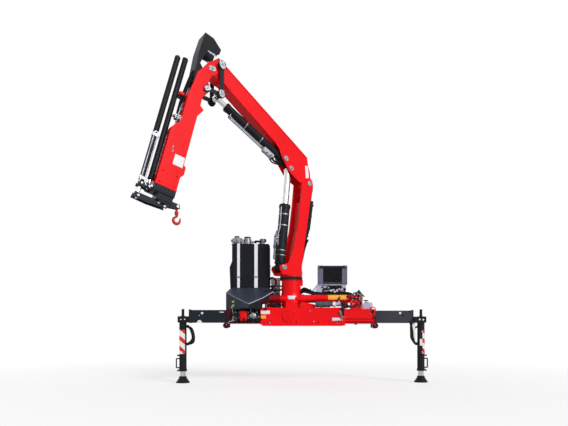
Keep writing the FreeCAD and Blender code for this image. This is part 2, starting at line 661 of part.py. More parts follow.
def extension_pipes():
    """Two pipes along the second extension cylinder, with the clamp that holds them."""
    start, end, places = EXTENSION_PIPES
    side = EXTENSION_BARREL_R + PIPE_R
    clamp = outer_plate([(start - 20, 396), (start + 20, 396), (start + 20, 484), (start - 20, 484)], 8, side + 8)
    tail = outer_plate([(end - 20, 396), (end + 20, 396), (end + 20, 484), (end - 20, 484)], 8, side + 8)
    pipes = [rod(v(st(start, out), side), v(st(end, out), side), PIPE_R) for out in places]
    barrel = rod(v(st(42, CYLINDER_2_OUT)), v(st(end + 200, CYLINDER_2_OUT)), EXTENSION_BARREL_R + 0.01)
    return fuse([clamp, tail] + pipes).cut(barrel)


def extension_2():
    tip = STAGES[1][5]
    shapes = [extension(1)]
    for near, far in ((44, 58), (-58, -44)):
        shapes.append(outer_plate([(tip, 100), (tip, 231), (tip + 5, 300), (tip + 5, 490),
                                   (tip + 70, 500), (tip + 78, 300), (tip + 62, 60)], near, far))
    end = outer_box(tip, tip + 20, 40, 190, 88)
    shapes.append(end)
    for near, far in ((24, 38), (-38, -24)):
        shapes.append(outer_plate([(tip - 62, -100), (tip - 8, -110), (tip + 20, 30), (tip + 20, 120),
                                   (tip, 120), (tip, 24), (tip - 62, 10)], near, far))
    body = fuse(shapes)
    return body.cut(outer_pin(HOOK_PIN, HOOK_PIN_R, 60))


def outer_pin(place, radius, half):
    return across(st(*place), radius, -half, half)


def extension_cylinder_2_rod():
    tip = STAGES[1][5]
    head = st(tip + 40, CYLINDER_2_OUT)
    stem = rod(v(st(EXTENSION_PISTON[0], CYLINDER_2_OUT)), v(head), EXTENSION_ROD_R)
    piston = rod(*[v(st(at, CYLINDER_2_OUT)) for at in EXTENSION_PISTON],
                 EXTENSION_BORE_R - SEAT_GAP)
    return fuse([stem, piston, across(head, 28, -44, 44)])


def hook_pin():
    return outer_pin(HOOK_PIN, HOOK_PIN_R, 46)


def hook_swivel():
    reach, height = st(*HOOK_PIN)
    eye = across((reach, height), 26, -18, 18)
    neck = Part.makeCylinder(16, SWIVEL_DROP, V(reach, 0, height - SWIVEL_DROP))
    block = Part.makeCylinder(SWIVEL_R, SWIVEL_HEIGHT, V(reach, 0, height - SWIVEL_DROP - SWIVEL_HEIGHT))
    body = fuse([eye, neck, block])
    seat = Part.makeCylinder(SHANK_R + PIN_FIT, SWIVEL_HEIGHT - 6,
                             V(reach, 0, height - SWIVEL_DROP - SWIVEL_HEIGHT - 1))
    return body.cut(seat).cut(across((reach, height), HOOK_PIN_R + PIN_FIT, -60, 60))


def hook():
    reach, height = st(*HOOK_PIN)
    top = height - SWIVEL_DROP - SWIVEL_HEIGHT - HOOK_GAP
    centre = height - HOOK_DROP
    shank = Part.makeCylinder(SHANK_R, 40, V(reach, 0, top - 24))
    collar = Part.makeCylinder(24, 12, V(reach, 0, top - 12))
    neck = Part.makeCone(SHANK_R + 4, SHANK_R, 34, V(reach, 0, top - 44))
    ring = Part.makeTorus(HOOK_R, HOOK_THICK, V(reach, 0, centre), V(0, 1, 0))
    mouth = plate([(reach, centre), (reach - 120, centre + 28), (reach - 120, centre + 130),
                   (reach - 12, centre + 62)], -40, 40)
    return fuse([shank, collar, neck, ring.cut(mouth)])


# Equipment on the base

def oil_tank():
    """A moulded tank, narrower above its shoulder."""
    outline = [(TANK_LEFT + 14, TANK_BOTTOM), (TANK_LEFT, TANK_SHOULDER - 60),
               (TANK_STEP, TANK_SHOULDER + 30), (TANK_STEP, TANK_TOP), (TANK_RIGHT, TANK_TOP),
               (TANK_RIGHT, TANK_BOTTOM)]
    tank = plate(outline, TANK_FRONT, TANK_BACK)
    return tank.makeFillet(TANK_EDGE, tank.Edges)


def tank_cradle():
    low = TANK_BOTTOM - CRADLE_THICK
    deck = box(TANK_LEFT + 40, TANK_RIGHT - 40, TANK_FRONT, TANK_BACK, low, TANK_BOTTOM)
    posts = [box(x, x + 60, TANK_FRONT + 30, TANK_FRONT + 130, HOUSING_TOP, low)
             for x in (TANK_LEFT + 80, TANK_RIGHT - 170)]
    return fuse([deck] + posts)


def tank_straps():
    pieces = []
    for x, width in STRAPS:
        hoop = box(x - width / 2, x + width / 2, TANK_FRONT - STRAP_THICK, TANK_BACK + STRAP_THICK,
                   TANK_BOTTOM, TANK_TOP + STRAP_THICK)
        core = box(x - width, x + width, TANK_FRONT, TANK_BACK, TANK_BOTTOM - 1, TANK_TOP)
        pieces.append(hoop.cut(core))
    return Part.makeCompound(pieces)


def tank_caps():
    """The filler with its breather, the filter head and a small cap."""
    neck = upright(-962, CAP_Y, 30, TANK_TOP, TANK_TOP + 40)
    head = upright(-933, CAP_Y, 76, TANK_TOP + 30, TANK_TOP + 98)
    knob = upright(-940, CAP_Y, 36, TANK_TOP + 98, TANK_TOP + 132)
    filter_head = upright(-785, CAP_Y, 60, TANK_TOP, TANK_TOP + 88)
    filter_top = upright(-785, CAP_Y, 44, TANK_TOP + 88, TANK_TOP + 114)
    small = upright(-556, CAP_Y, 44, TANK_TOP + 44, TANK_TOP + 88)
    small_neck = upright(-556, CAP_Y, 27, TANK_TOP, TANK_TOP + 44)
    return Part.makeCompound([fuse([neck, head, knob]), fuse([filter_head, filter_top]),
                              fuse([small_neck, small])])


def valve_plate():
    """An upright plate behind the post that carries hose ends, clear below the turning column."""
    return box(-436, -300, 150, 158, BASE_HEIGHT, RING_TOP + 10)


COVER_PLAN = [(-1073, -100), (-1013, 40), (-459, 40), (-398, -80), (-545, -255), (-731, -420),
              (-790, -400)]


def control_cover():
    """A folded sheet cover that slopes down to the front over the control valve."""
    wedge_points = [(-430, 286), (50, 558), (50, HOUSING_TOP), (-430, HOUSING_TOP)]
    points = [V(-1200, y, z) for y, z in wedge_points]
    points.append(points[0])
    wedge = Part.Face(Part.makePolygon(points)).extrude(V(1000, 0, 0))
    outer = slab(COVER_PLAN, HOUSING_TOP, 600).common(wedge)
    lower = wedge.copy()
    lower.translate(V(0, 0, -6))
    inner_plan = [(-1063, -98), (-1007, 34), (-464, 34), (-408, -78), (-550, -247), (-731, -410),
                  (-785, -393)]
    inner = slab(inner_plan, 200, 600).common(fuse([lower, box(-1200, -200, -430, 50, 180, 240)]))
    shell = outer.cut(inner)
    shell = shell.cut(box(-560, -200, -260, 60, 200, 345))
    return shell.cut(box(RACK_LEFT - 12, -200, -RACK_Y - RACK_R - 8, 60, 200, RACK_Z + RACK_R + 10))


def left_valve_bank():
    """The stabilisers' valve on a rail in front of the housing."""
    back = -HOUSING_HALF_DEPTH
    front = back - BANK_STAND
    block = box(BANK_LEFT, BANK_RIGHT, front - BANK_DEPTH, front, BANK_BOTTOM, BANK_TOP)
    rail = box(BANK_LEFT - 40, BANK_RIGHT + 40, front, back, BANK_BOTTOM + 10, BANK_BOTTOM + 60)
    return fuse([block, rail])


def left_levers():
    pieces = []
    y = -HOUSING_HALF_DEPTH - BANK_STAND - BANK_DEPTH / 2
    for index in range(LEVER_COUNT):
        x = BANK_LEFT + 30 + index * LEVER_PITCH
        stem = rod(V(x, y, BANK_TOP), V(x, y - 48, BANK_TOP + 35), 6)
        knob = Part.makeSphere(13, V(x, y - 51, BANK_TOP + 37))
        pieces.append(fuse([stem, knob]).cut(left_valve_bank()))
    return Part.makeCompound(pieces)


def oil_cooler():
    """A frame round a core that is set back at the front and the back."""
    depth = COOLER_HALF_DEPTH
    frame = box(COOLER_LEFT, COOLER_RIGHT, -depth, depth, COOLER_BOTTOM, COOLER_TOP)
    x0, x1 = COOLER_LEFT + COOLER_RIM, COOLER_RIGHT - COOLER_RIM
    z0, z1 = COOLER_BOTTOM + COOLER_RIM / 2, COOLER_TOP - COOLER_RIM / 2
    for y0, y1 in ((-depth - 1, -depth + CORE_RECESS), (depth - CORE_RECESS, depth + 1)):
        frame = frame.cut(box(x0, x1, y0, y1, z0, z1))
    ears = [box(x, x + 26, -depth - 8, -depth, COOLER_TOP - 30, COOLER_TOP)
            for x in (COOLER_LEFT + 6, COOLER_RIGHT - 32)]
    return fuse([frame] + ears)


def cooler_bracket():
    """A tray on four legs under the cooler."""
    low = COOLER_BOTTOM - SHELF_THICK
    legs = [box(x, x + 24, y, y + 24, BASE_HEIGHT, low)
            for x in (COOLER_LEFT + 30, COOLER_RIGHT - 60) for y in (-50, 26)]
    shelf = box(COOLER_LEFT - 12, COOLER_RIGHT - 24, -COOLER_HALF_DEPTH, COOLER_HALF_DEPTH,
                low, COOLER_BOTTOM)
    rail = box(COOLER_LEFT + 30, COOLER_RIGHT - 36, -50, -26, low - 90, low - 55)
    return fuse(legs + [shelf, rail])


def return_filter():
    """A round filter that lies on the base, on a foot."""
    z = BASE_HEIGHT + 48
    body = rod(V(206, -190, z), V(405, -190, z), 42)
    neck = rod(V(405, -190, z), V(440, -190, z), 30)
    foot = box(260, 300, -215, -165, BASE_HEIGHT, z)
    return fuse([body, neck, foot])


def right_valve_block():
    """The slewing valve beside the end of the racks, on the housing."""
    block = box(690, 862, -195, -150, HOUSING_TOP, HOUSING_TOP + 120)
    ports = [rod(V(x, -172, HOUSING_TOP + 120), V(x, -172, HOUSING_TOP + 190), 12) for x in (725, 775, 825)]
    return fuse([block] + ports)


def end_plate():
    """A rounded plate on the housing's right end."""
    slab_part = box(872, 990, -150, -142, HOUSING_TOP, HOUSING_TOP + 62)
    top = rod(V(931, -150, HOUSING_TOP + 50), V(931, -142, HOUSING_TOP + 50), 59)
    plate_part = fuse([slab_part, top])
    return plate_part.cut(box(860, 1000, -160, -130, 0, HOUSING_TOP))


def beam_lock_levers():
    """The pins that lock the two beams, each with its handle."""
    pieces = []
    for x, low in ((LOCK_LEFT, HOUSING_TOP), (LOCK_RIGHT, HOUSING_BOTTOM + LOCK_RISE)):
        y = -BASE_HALF_DEPTH - 16
        pin = upright(x, y, 9, low, BASE_HEIGHT + 50)
        knob = upright(x, y, 17, BASE_HEIGHT + 46, BASE_HEIGHT + 68)
        ear = box(x - 16, x + 16, y - 14, -BASE_HALF_DEPTH, BASE_HEIGHT - 34, BASE_HEIGHT - 10)
        pieces.append(fuse([pin, knob, ear]))
    return Part.makeCompound(pieces)


def build():
    keep("base_frame", base_frame())
    keep("stabiliser_housing", stabiliser_housing())
    keep("housing_plates", housing_plates())
    keep("beam_rollers", beam_rollers())
    keep("column_post", column_post())
    keep("slew_ring", slew_ring())
    keep("slew_rack_cylinders", slew_rack_cylinders())
    keep("oil_tank", oil_tank())
    keep("tank_cradle", tank_cradle())
    keep("tank_straps", tank_straps())
    keep("tank_caps", tank_caps())
    keep("valve_plate", valve_plate())
    keep("control_cover", control_cover())
    keep("left_valve_bank", left_valve_bank())
    keep("left_levers", left_levers())
    keep("oil_cooler", oil_cooler())
    keep("cooler_bracket", cooler_bracket())
    keep("return_filter", return_filter())
    keep("right_valve_block", right_valve_block())
    keep("end_plate", end_plate())
    keep("beam_lock_levers", beam_lock_levers())
    sides = (
        ("left", -1, LEFT_BEAM_END, -1, LEFT_LEG_X, LEFT_LEG_Y),
        ("right", 1, RIGHT_BEAM_END, 1, RIGHT_LEG_X, RIGHT_LEG_Y),
    )
    for name, side, end, out, leg_x, leg_y in sides:
        keep(name + "_beam", beam(side, end, out))
        keep(name + "_leg_tube", leg_tube(leg_x, leg_y, end, out, side * BEAM_Y))
        keep(name + "_leg_trim", leg_trim(leg_x, leg_y, out))
        keep(name + "_leg_rod", leg_rod(leg_x, leg_y))
        keep(name + "_pad", leg_pad(leg_x, leg_y))
    keep_boom("column", column())
    keep_boom("main_pivot_pin", main_pivot_pin())
    keep_boom("lift_base_pin", lift_base_pin())
    keep_boom("column_hose_guard", column_hose_guard())
    keep_boom("lift_cylinder_barrel", cylinder_barrel(
        LIFT_BASE, LIFT_HEAD, LIFT_BARREL_R, LIFT_BORE_R, LIFT_ROD_R, LIFT_BARREL_LENGTH,
        LIFT_BASE_PIN_R, 62))
    keep_boom("lift_cylinder_rod", cylinder_rod(
        LIFT_BASE, LIFT_HEAD, LIFT_ROD_R, LIFT_BORE_R, LIFT_ROD_LENGTH, 48, CYLINDER_PIN_R))
    keep_boom("lift_cylinder_valve", cylinder_valve(
        LIFT_BASE, LIFT_HEAD, LIFT_BARREL_R, LIFT_VALVE))
    keep_boom("inner_boom", inner_boom())
    keep_boom("inner_boom_pins", inner_boom_pins())
    keep_boom("lifting_eye", lifting_eye())
    keep_boom("fold_cylinder_barrel", cylinder_barrel(
        FOLD_BASE, LINK_LOW, FOLD_BARREL_R, FOLD_BORE_R, FOLD_ROD_R, FOLD_BARREL_LENGTH,
        CYLINDER_PIN_R, 48))
    keep_boom("fold_cylinder_rod", cylinder_rod(
        FOLD_BASE, LINK_LOW, FOLD_ROD_R, FOLD_BORE_R, FOLD_ROD_LENGTH, 44, CYLINDER_PIN_R))
    keep_boom("fold_cylinder_valve", cylinder_valve(
        FOLD_BASE, LINK_LOW, FOLD_BARREL_R, FOLD_VALVE))
    keep_boom("knuckle_link_inner", knuckle_link_inner())
    keep_boom("knuckle_link_outer", knuckle_link_outer())
    keep_boom("outer_boom", outer_boom())
    keep_boom("knuckle_pin", knuckle_pin())
    keep_boom("extension_cylinder_1_barrel", extension_cylinder_1_barrel())
    keep_boom("hose_guard", hose_guard())
    keep_boom("boom_valve", boom_valve())
    keep_boom("extension_1", extension_1())
    keep_boom("extension_cylinder_1_rod", extension_cylinder_1_rod())
    keep_boom("extension_cylinder_2_barrel", extension_cylinder_2_barrel())
    keep_boom("extension_pipes", extension_pipes())
    keep_boom("extension_2", extension_2())
    keep_boom("extension_cylinder_2_rod", extension_cylinder_2_rod())
    keep_boom("hook_pin", hook_pin())
    keep_boom("hook_swivel", hook_swivel())
    keep_boom("hook", hook())


build()
os.makedirs("parts", exist_ok=True)
for node, shape in parts.items():
    shape.exportStep(os.path.join("parts", node + ".step"))
print(len(parts), "nodes")
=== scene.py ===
import math

import bmesh
import bpy
from mathutils import Matrix, Vector


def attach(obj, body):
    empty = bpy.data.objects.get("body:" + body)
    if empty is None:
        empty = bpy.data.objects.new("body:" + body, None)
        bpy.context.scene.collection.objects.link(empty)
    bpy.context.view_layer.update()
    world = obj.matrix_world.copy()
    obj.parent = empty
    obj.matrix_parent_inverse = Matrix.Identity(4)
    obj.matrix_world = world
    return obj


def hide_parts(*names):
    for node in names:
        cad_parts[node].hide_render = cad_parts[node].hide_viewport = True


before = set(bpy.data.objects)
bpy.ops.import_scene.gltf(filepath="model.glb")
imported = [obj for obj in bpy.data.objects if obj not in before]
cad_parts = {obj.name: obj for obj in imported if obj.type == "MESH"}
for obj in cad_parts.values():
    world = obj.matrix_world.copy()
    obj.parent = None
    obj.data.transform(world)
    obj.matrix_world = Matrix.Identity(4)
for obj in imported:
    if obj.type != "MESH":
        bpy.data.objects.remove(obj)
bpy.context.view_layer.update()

# Looks for a knuckle boom loader crane on its two stabiliser legs.
# Lengths in the tables are millimetres, and MM turns them into the scene's metres.

MM = 0.001

# The boom's own plane
COLUMN_X = -140.0
SLEW_TURN = math.radians(212.0)
OUTER_TILT = math.radians(16.0)
KNUCKLE = (1294.0, 3345.0)

# The camera, from the photograph's vanishing lines
CAMERA_PLACE = (-0.245, -8.05, -0.133)
FRAME_WIDTH, FRAME_HEIGHT = 568, 426
FOCAL_PIXELS = 557.0
HORIZON_PIXEL = 335.0
SENSOR = 36.0

FLOOR_Z = -0.8162


# Places

def boom_point(reach, side, height):
    """A place in the boom's plane, in metres."""
    x = COLUMN_X + reach * math.cos(SLEW_TURN) - side * math.sin(SLEW_TURN)
    y = reach * math.sin(SLEW_TURN) + side * math.cos(SLEW_TURN)
    return Vector((x, y, height)) * MM


def outer_point(down, side, out):
    """A place along the outer boom, in metres."""
    reach = KNUCKLE[0] + down * math.sin(OUTER_TILT) + out * math.cos(OUTER_TILT)
    height = KNUCKLE[1] - down * math.cos(OUTER_TILT) + out * math.sin(OUTER_TILT)
    return boom_point(reach, side, height)


def base_point(x, y, z):
    return Vector((x, y, z)) * MM


def side_point(y, x, z):
    """A place on an outline that is drawn from the crane's end."""
    return base_point(x, y, z)


# Building blocks

class Kit:
    """Simple solids gathered into one mesh, which becomes one piece."""

    def __init__(self):
        self.mesh = bmesh.new()

    def prism(self, outline, place, side_a, side_b, bevel=1.5):
        """An outline of (u, v) points between two sides. place(u, side, v) gives metres."""
        near = [self.mesh.verts.new(place(u, side_a, v)) for u, v in outline]
        far = [self.mesh.verts.new(place(u, side_b, v)) for u, v in outline]
        faces = [self.mesh.faces.new(near), self.mesh.faces.new(far[::-1])]
        for index in range(len(outline)):
            before = index - 1
            faces.append(self.mesh.faces.new((near[index], near[before], far[before], far[index])))
        bmesh.ops.recalc_face_normals(self.mesh, faces=faces)
        if bevel:
            edges = list({edge for face in faces for edge in face.edges})
            bmesh.ops.bevel(self.mesh, geom=edges, offset=bevel * MM, segments=2, affect="EDGES",
                            clamp_overlap=True)

    def block(self, place, low, high, bevel=1.5):
        """A box between two corners (u, side, v)."""
        outline = [(low[0], low[2]), (high[0], low[2]), (high[0], high[2]), (low[0], high[2])]
        self.prism(outline, place, low[1], high[1], bevel)

    def turned(self, start, axis, profile, sides=28, turn=0.0):
        """A round or many-sided solid: (distance along the axis, radius) in millimetres."""
        axis = Vector(axis).normalized()
        across = axis.orthogonal().normalized()
        third = axis.cross(across)
        rings = []
        for distance, radius in profile:
            centre = Vector(start) + axis * distance * MM
            ring = []
            for index in range(sides):
                angle = 2 * math.pi * index / sides + turn
                spoke = across * math.cos(angle) + third * math.sin(angle)
                ring.append(self.mesh.verts.new(centre + spoke * radius * MM))
            rings.append(ring)
        self.skin(rings)

    def bar(self, start, end, radius, sides=20, chamfer=1.0):
        length = (Vector(end) - Vector(start)).length / MM
        chamfer = min(chamfer, length / 3, radius / 3)
        self.turned(start, Vector(end) - Vector(start),
                    [(0, radius - chamfer), (chamfer, radius), (length - chamfer, radius),
                     (length, radius - chamfer)], sides)

    def bolt(self, start, axis, width=19.0, height=11.0):
        """A hexagon head on a washer."""
        axis = Vector(axis).normalized()
        self.turned(start, axis, [(0, width * 0.78), (2.4, width * 0.78), (2.8, width * 0.74)], 24)
        self.turned(Vector(start) + axis * 2.6 * MM, axis,
                    [(0, width * 0.577), (height * 0.8, width * 0.577), (height, width * 0.49)], 6)

    def pin_end(self, start, axis, radius, height=9.0):
        """A pin's end: a turned rim, a shallow dish and a grease nipple."""
        self.turned(start, axis, [(0, radius), (height - 2, radius), (height, radius - 2),
                                  (height, radius * 0.62), (height - 2.5, radius * 0.55)], 36)
        self.turned(Vector(start) + Vector(axis).normalized() * (height - 3) * MM, axis,
                    [(0, 5), (5, 5), (7, 3), (12, 3), (13, 1.5)], 12)

    def ball(self, centre, radius):
        bmesh.ops.create_icosphere(self.mesh, subdivisions=3, radius=radius * MM,
                                   matrix=Matrix.Translation(centre))

    def sweep(self, path, radius, sides=12):
        """A round bar along a list of places."""
        tangents = []
        for index in range(len(path)):
            before = path[max(index - 1, 0)]
            after = path[min(index + 1, len(path) - 1)]
            tangents.append((after - before).normalized())
        across = tangents[0].orthogonal().normalized()
        rings = []
        for place, tangent in zip(path, tangents):
            across = (across - tangent * across.dot(tangent)).normalized()
            third = tangent.cross(across)
            ring = []
            for index in range(sides):
                angle = 2 * math.pi * index / sides
                spoke = across * math.cos(angle) + third * math.sin(angle)
                ring.append(self.mesh.verts.new(place + spoke * radius * MM))
            rings.append(ring)
        self.skin(rings)

    def tapered(self, places, radii, steps=6, sides=16):
        """A round bar along a smooth curve whose thickness changes from place to place."""
        path = smooth_path(places, steps)
        thick = []
        for index in range(len(path)):
            whole = min(index // steps, len(radii) - 2)
            share = min(index / steps - whole, 1.0)
            thick.append(radii[whole] * (1 - share) + radii[whole + 1] * share)
        across = (path[1] - path[0]).orthogonal().normalized()
        rings = []
        for index, place in enumerate(path):
            tangent = (path[min(index + 1, len(path) - 1)] - path[max(index - 1, 0)]).normalized()
            across = (across - tangent * across.dot(tangent)).normalized()
            third = tangent.cross(across)
            spokes = [across * math.cos(2 * math.pi * k / sides)
                      + third * math.sin(2 * math.pi * k / sides)
                      for k in range(sides)]
            rings.append([self.mesh.verts.new(place + spoke * thick[index] * MM) for spoke in spokes])
        self.skin(rings)

    def skin(self, rings):
        """Faces between rings of equal count, closed at both ends."""
        faces = [self.mesh.faces.new(rings[0][::-1]), self.mesh.faces.new(rings[-1])]
        for low, high in zip(rings, rings[1:]):
            for index in range(len(low)):
                before = index - 1
                faces.append(self.mesh.faces.new((low[before], low[index], high[index], high[before])))
        bmesh.ops.recalc_face_normals(self.mesh, faces=faces)

    def hose(self, place, points, radius, ferrule=True):
        """A hose along a smooth curve, with a crimped ferrule at each end."""
        path = smooth_path([place(*point) for point in points])
        self.sweep(path, radius)
        if ferrule:
            for end, beside in ((path[0], path[3]), (path[-1], path[-4])):
                self.turned(end, beside - end, [(0, radius * 0.8), (3, radius * 1.35),
                                                (26, radius * 1.35),
                                                (30, radius * 1.1)], 16)

    def pipe(self, place, points, radius, bend=40.0):
        """A hard pipe: straight runs with round bends."""
        self.sweep(bent_path([place(*point) for point in points], bend), radius)

    def keep(self, name, body, material, angle=32.0):
        """Turn what was gathered into a piece that rides on a body."""
        data = bpy.data.meshes.new(name)
        self.mesh.to_mesh(data)
        self.mesh.free()
        data.materials.append(material)
        data.shade_smooth()
        data.set_sharp_from_angle(angle=math.radians(angle))
        piece = bpy.data.objects.new(name, data)
        bpy.context.scene.collection.objects.link(piece)
        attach(piece, body)
        return piece


def smooth_path(places, steps=8):
    """A curve through all the places."""
    places = [Vector(place) for place in places]
    guides = [places[0] * 2 - places[1]] + places + [places[-1] * 2 - places[-2]]
    path = []
    for index in range(1, len(guides) - 2):
        a, b, c, d = guides[index - 1:index + 3]
        for step in range(steps):
            t = step / steps
            path.append(0.5 * ((b * 2) + (c - a) * t + (a * 2 - b * 5 + c * 4 - d) * t * t
                               + (b * 3 - a - c * 3 + d) * t * t * t))
    path.append(places[-1])
    return path


def bent_path(places, bend, steps=5):
    """Straight runs, with a round bend at each place between."""
    places = [Vector(place) for place in places]
    path = [places[0]]
    for before, corner, after in zip(places, places[1:], places[2:]):
        reach = min(bend * MM, (before - corner).length * 0.45, (after - corner).length * 0.45)
        start = corner + (before - corner).normalized() * reach
        end = corner + (after - corner).normalized() * reach
        for step in range(steps + 1):
            t = step / steps
            path.append(start * (1 - t) ** 2 + corner * 2 * t * (1 - t) + end * t * t)
    path.append(places[-1])
    return path


def direction(place, first, second):
    """The direction from one (u, side, v) place to another."""
    return (place(*second) - place(*first)).normalized()


ACROSS = direction(boom_point, (0, 0, 0), (0, 1, 0))
FORWARD = Vector((0, -1, 0))
UP = Vector((0, 0, 1))
EAST = Vector((1, 0, 0))


# Materials

def new_material(name):
    material = bpy.data.materials.new(name)
    material.use_nodes = True
    nodes = material.node_tree.nodes
    shader = nodes["Principled BSDF"]
    return material, nodes, material.node_tree.links, shader


def noise(nodes, links, scale, detail=4.0, distortion=0.0):
    place = nodes.new("ShaderNodeTexCoord")
    texture = nodes.new("ShaderNodeTexNoise")
    texture.inputs["Scale"].default_value = scale
    texture.inputs["Detail"].default_value = detail
    texture.inputs["Distortion"].default_value = distortion
    links.new(place.outputs["Object"], texture.inputs["Vector"])
    return texture.outputs["Fac"]


def spread(nodes, links, value, low, high, out_low, out_high):
    """Map a value's range to another one, held at its ends."""
    node = nodes.new("ShaderNodeMapRange")
    node.inputs["From Min"].default_value = low
    node.inputs["From Max"].default_value = high
    node.inputs["To Min"].default_value = out_low
    node.inputs["To Max"].default_value = out_high
    links.new(value, node.inputs["Value"])
    return node.outputs["Result"]


def mix_colour(nodes, links, factor, first, second):
    node = nodes.new("ShaderNodeMix")
    node.data_type = "RGBA"
    links.new(factor, node.inputs["Factor"])
    for socket, colour in (("A", first), ("B", second)):
        target = [s for s in node.inputs if s.name == socket and s.type == "RGBA"][0]
        if isinstance(colour, tuple):
            target.default_value = (*colour, 1.0)
        else:
            links.new(colour, target)
    return [s for s in node.outputs if s.type == "RGBA"][0]


def edge_mask(nodes, links, radius):
    """Near 1 along sharp edges, 0 on flat faces."""
    bevel = nodes.new("ShaderNodeBevel")
    bevel.samples = 4
    bevel.inputs["Radius"].default_value = radius
    geometry = nodes.new("ShaderNodeNewGeometry")
    dot = nodes.new("ShaderNodeVectorMath")
    dot.operation = "DOT_PRODUCT"
    links.new(bevel.outputs["Normal"], dot.inputs[0])
    links.new(geometry.outputs["Normal"], dot.inputs[1])
    return bevel, spread(nodes, links, dot.outputs["Value"], 0.995, 0.80, 0.0, 1.0)


def finish_surface(name, colour, shade, edge, roughness, metallic=0.0, specular=0.5, coat=0.0,
                   grain=120.0, grain_height=0.0006, edge_radius=0.004, edge_share=0.5,
                   patch_scale=3.0):
    """A painted, moulded or machined surface: broad tone patches, fine grain, and lighter edges that are partly wear
    and partly a painted highlight.
    """
    material, nodes, links, shader = new_material(name)
    patches = spread(nodes, links, noise(nodes, links, patch_scale, 6.0), 0.35, 0.65, 0.0, 1.0)
    toned = mix_colour(nodes, links, patches, colour, shade)
    bevel, edges = edge_mask(nodes, links, edge_radius)
    # Lighter colour along sharp edges, broken by speckle: partly paint wear, partly a painted highlight where edges
    # catch the light.
    speckle = spread(nodes, links, noise(nodes, links, 60.0, 8.0), 0.42, 0.62, 0.0, edge_share)
    wear_and_highlight = nodes.new("ShaderNodeMath")
    wear_and_highlight.operation = "MULTIPLY"
    links.new(edges, wear_and_highlight.inputs[0])
    links.new(speckle, wear_and_highlight.inputs[1])
    links.new(mix_colour(nodes, links, wear_and_highlight.outputs["Value"], toned, edge),
              shader.inputs["Base Color"])
    fine = noise(nodes, links, grain, 5.0)
    links.new(spread(nodes, links, fine, 0.3, 0.7, roughness * 0.85, min(1.0, roughness * 1.2)),
              shader.inputs["Roughness"])
    bump = nodes.new("ShaderNodeBump")
    bump.inputs["Strength"].default_value = 0.25
    bump.inputs["Distance"].default_value = grain_height
    links.new(fine, bump.inputs["Height"])
    links.new(bevel.outputs["Normal"], bump.inputs["Normal"])
    links.new(bump.outputs["Normal"], shader.inputs["Normal"])
    shader.inputs["Metallic"].default_value = metallic
    shader.inputs["Specular IOR Level"].default_value = specular
    shader.inputs["Coat Weight"].default_value = coat
    shader.inputs["Coat Roughness"].default_value = 0.12
    return material


def striped_plate(name):
    """Red and white warning stripes at a slant."""
    material, nodes, links, shader = new_material(name)
    place = nodes.new("ShaderNodeTexCoord")
    split = nodes.new("ShaderNodeSeparateXYZ")
    links.new(place.outputs["Object"], split.inputs["Vector"])
    slope = nodes.new("ShaderNodeMath")
    slope.operation = "MULTIPLY_ADD"
    slope.inputs[1].default_value = STRIPE_SLOPE
    links.new(split.outputs["X"], slope.inputs[0])
    links.new(split.outputs["Z"], slope.inputs[2])
    turns = nodes.new("ShaderNodeMath")
    turns.operation = "MULTIPLY"
    turns.inputs[1].default_value = 1.0 / STRIPE_PITCH
    links.new(slope.outputs["Value"], turns.inputs[0])
    part = nodes.new("ShaderNodeMath")
    part.operation = "FRACT"
    links.new(turns.outputs["Value"], part.inputs[0])
    above = nodes.new("ShaderNodeMath")
    above.operation = "GREATER_THAN"
    above.inputs[1].default_value = 0.55
    links.new(part.outputs["Value"], above.inputs[0])
    links.new(mix_colour(nodes, links, above.outputs["Value"], (0.85, 0.85, 0.85), (0.62, 0.01, 0.02)),
              shader.inputs["Base Color"])
    fine = noise(nodes, links, 300.0)
    links.new(spread(nodes, links, fine, 0.3, 0.7, 0.3, 0.5), shader.inputs["Roughness"])
    return material


STRIPE_SLOPE = 0.85
STRIPE_PITCH = 0.146

RED = finish_surface("red_paint", (0.93, 0.003, 0.008), (0.86, 0.002, 0.006), (0.9, 0.05, 0.05),
                     0.36, specular=0.13, coat=0.05, grain=900.0, grain_height=0.0002)
ORANGE = finish_surface("orange_paint", (0.62, 0.045, 0.022), (0.5, 0.03, 0.016), (0.8, 0.25, 0.18),
                        0.4, specular=0.2, coat=0.05, grain=300.0)
BLACK = finish_surface("black_paint", (0.010, 0.010, 0.013), (0.016, 0.016, 0.02), (0.09, 0.09, 0.10),
                       0.42, specular=0.12, grain=400.0, grain_height=0.0003)
BLUE_BLACK = finish_surface("blue_black_paint", (0.010, 0.012, 0.020), (0.015, 0.018, 0.028),
                            (0.10, 0.11, 0.14), 0.38, specular=0.14, grain=400.0)
PLASTIC = finish_surface("tank_plastic", (0.007, 0.008, 0.012), (0.012, 0.013, 0.018),
                         (0.05, 0.05, 0.06), 0.50, specular=0.12, grain=260.0, grain_height=0.0008)
RUBBER = finish_surface("hose_rubber", (0.008, 0.008, 0.009), (0.014, 0.014, 0.015),
                        (0.04, 0.04, 0.04),
                        0.6, specular=0.1, grain=700.0)
SLATE = finish_surface("slate_paint", (0.034, 0.042, 0.064), (0.028, 0.035, 0.054),
                       (0.30, 0.32, 0.36), 0.42, specular=0.15, grain=500.0)
GREY = finish_surface("grey_paint", (0.045, 0.048, 0.062), (0.036, 0.038, 0.052), (0.22, 0.22, 0.26),
                      0.42, specular=0.15, grain=400.0)
PALE = finish_surface("lilac_grey_paint", (0.50, 0.50, 0.65), (0.43, 0.43, 0.57), (0.7, 0.7, 0.8),
                      0.45, specular=0.35, grain=300.0)
COOLER_GREY = finish_surface("cooler_grey", (0.12, 0.12, 0.135), (0.09, 0.09, 0.105), (0.3, 0.3, 0.33),
                             0.4, metallic=0.3, grain=300.0)
CHROME = finish_surface("chrome", (0.78, 0.79, 0.82), (0.70, 0.71, 0.75), (0.9, 0.9, 0.9), 0.10,
                        metallic=1.0, grain=1500.0, grain_height=0.0001)
ZINC = finish_surface("zinc_plate", (0.36, 0.37, 0.41), (0.20, 0.21, 0.24), (0.7, 0.7, 0.74), 0.34,
                      metallic=0.85, grain=500.0)
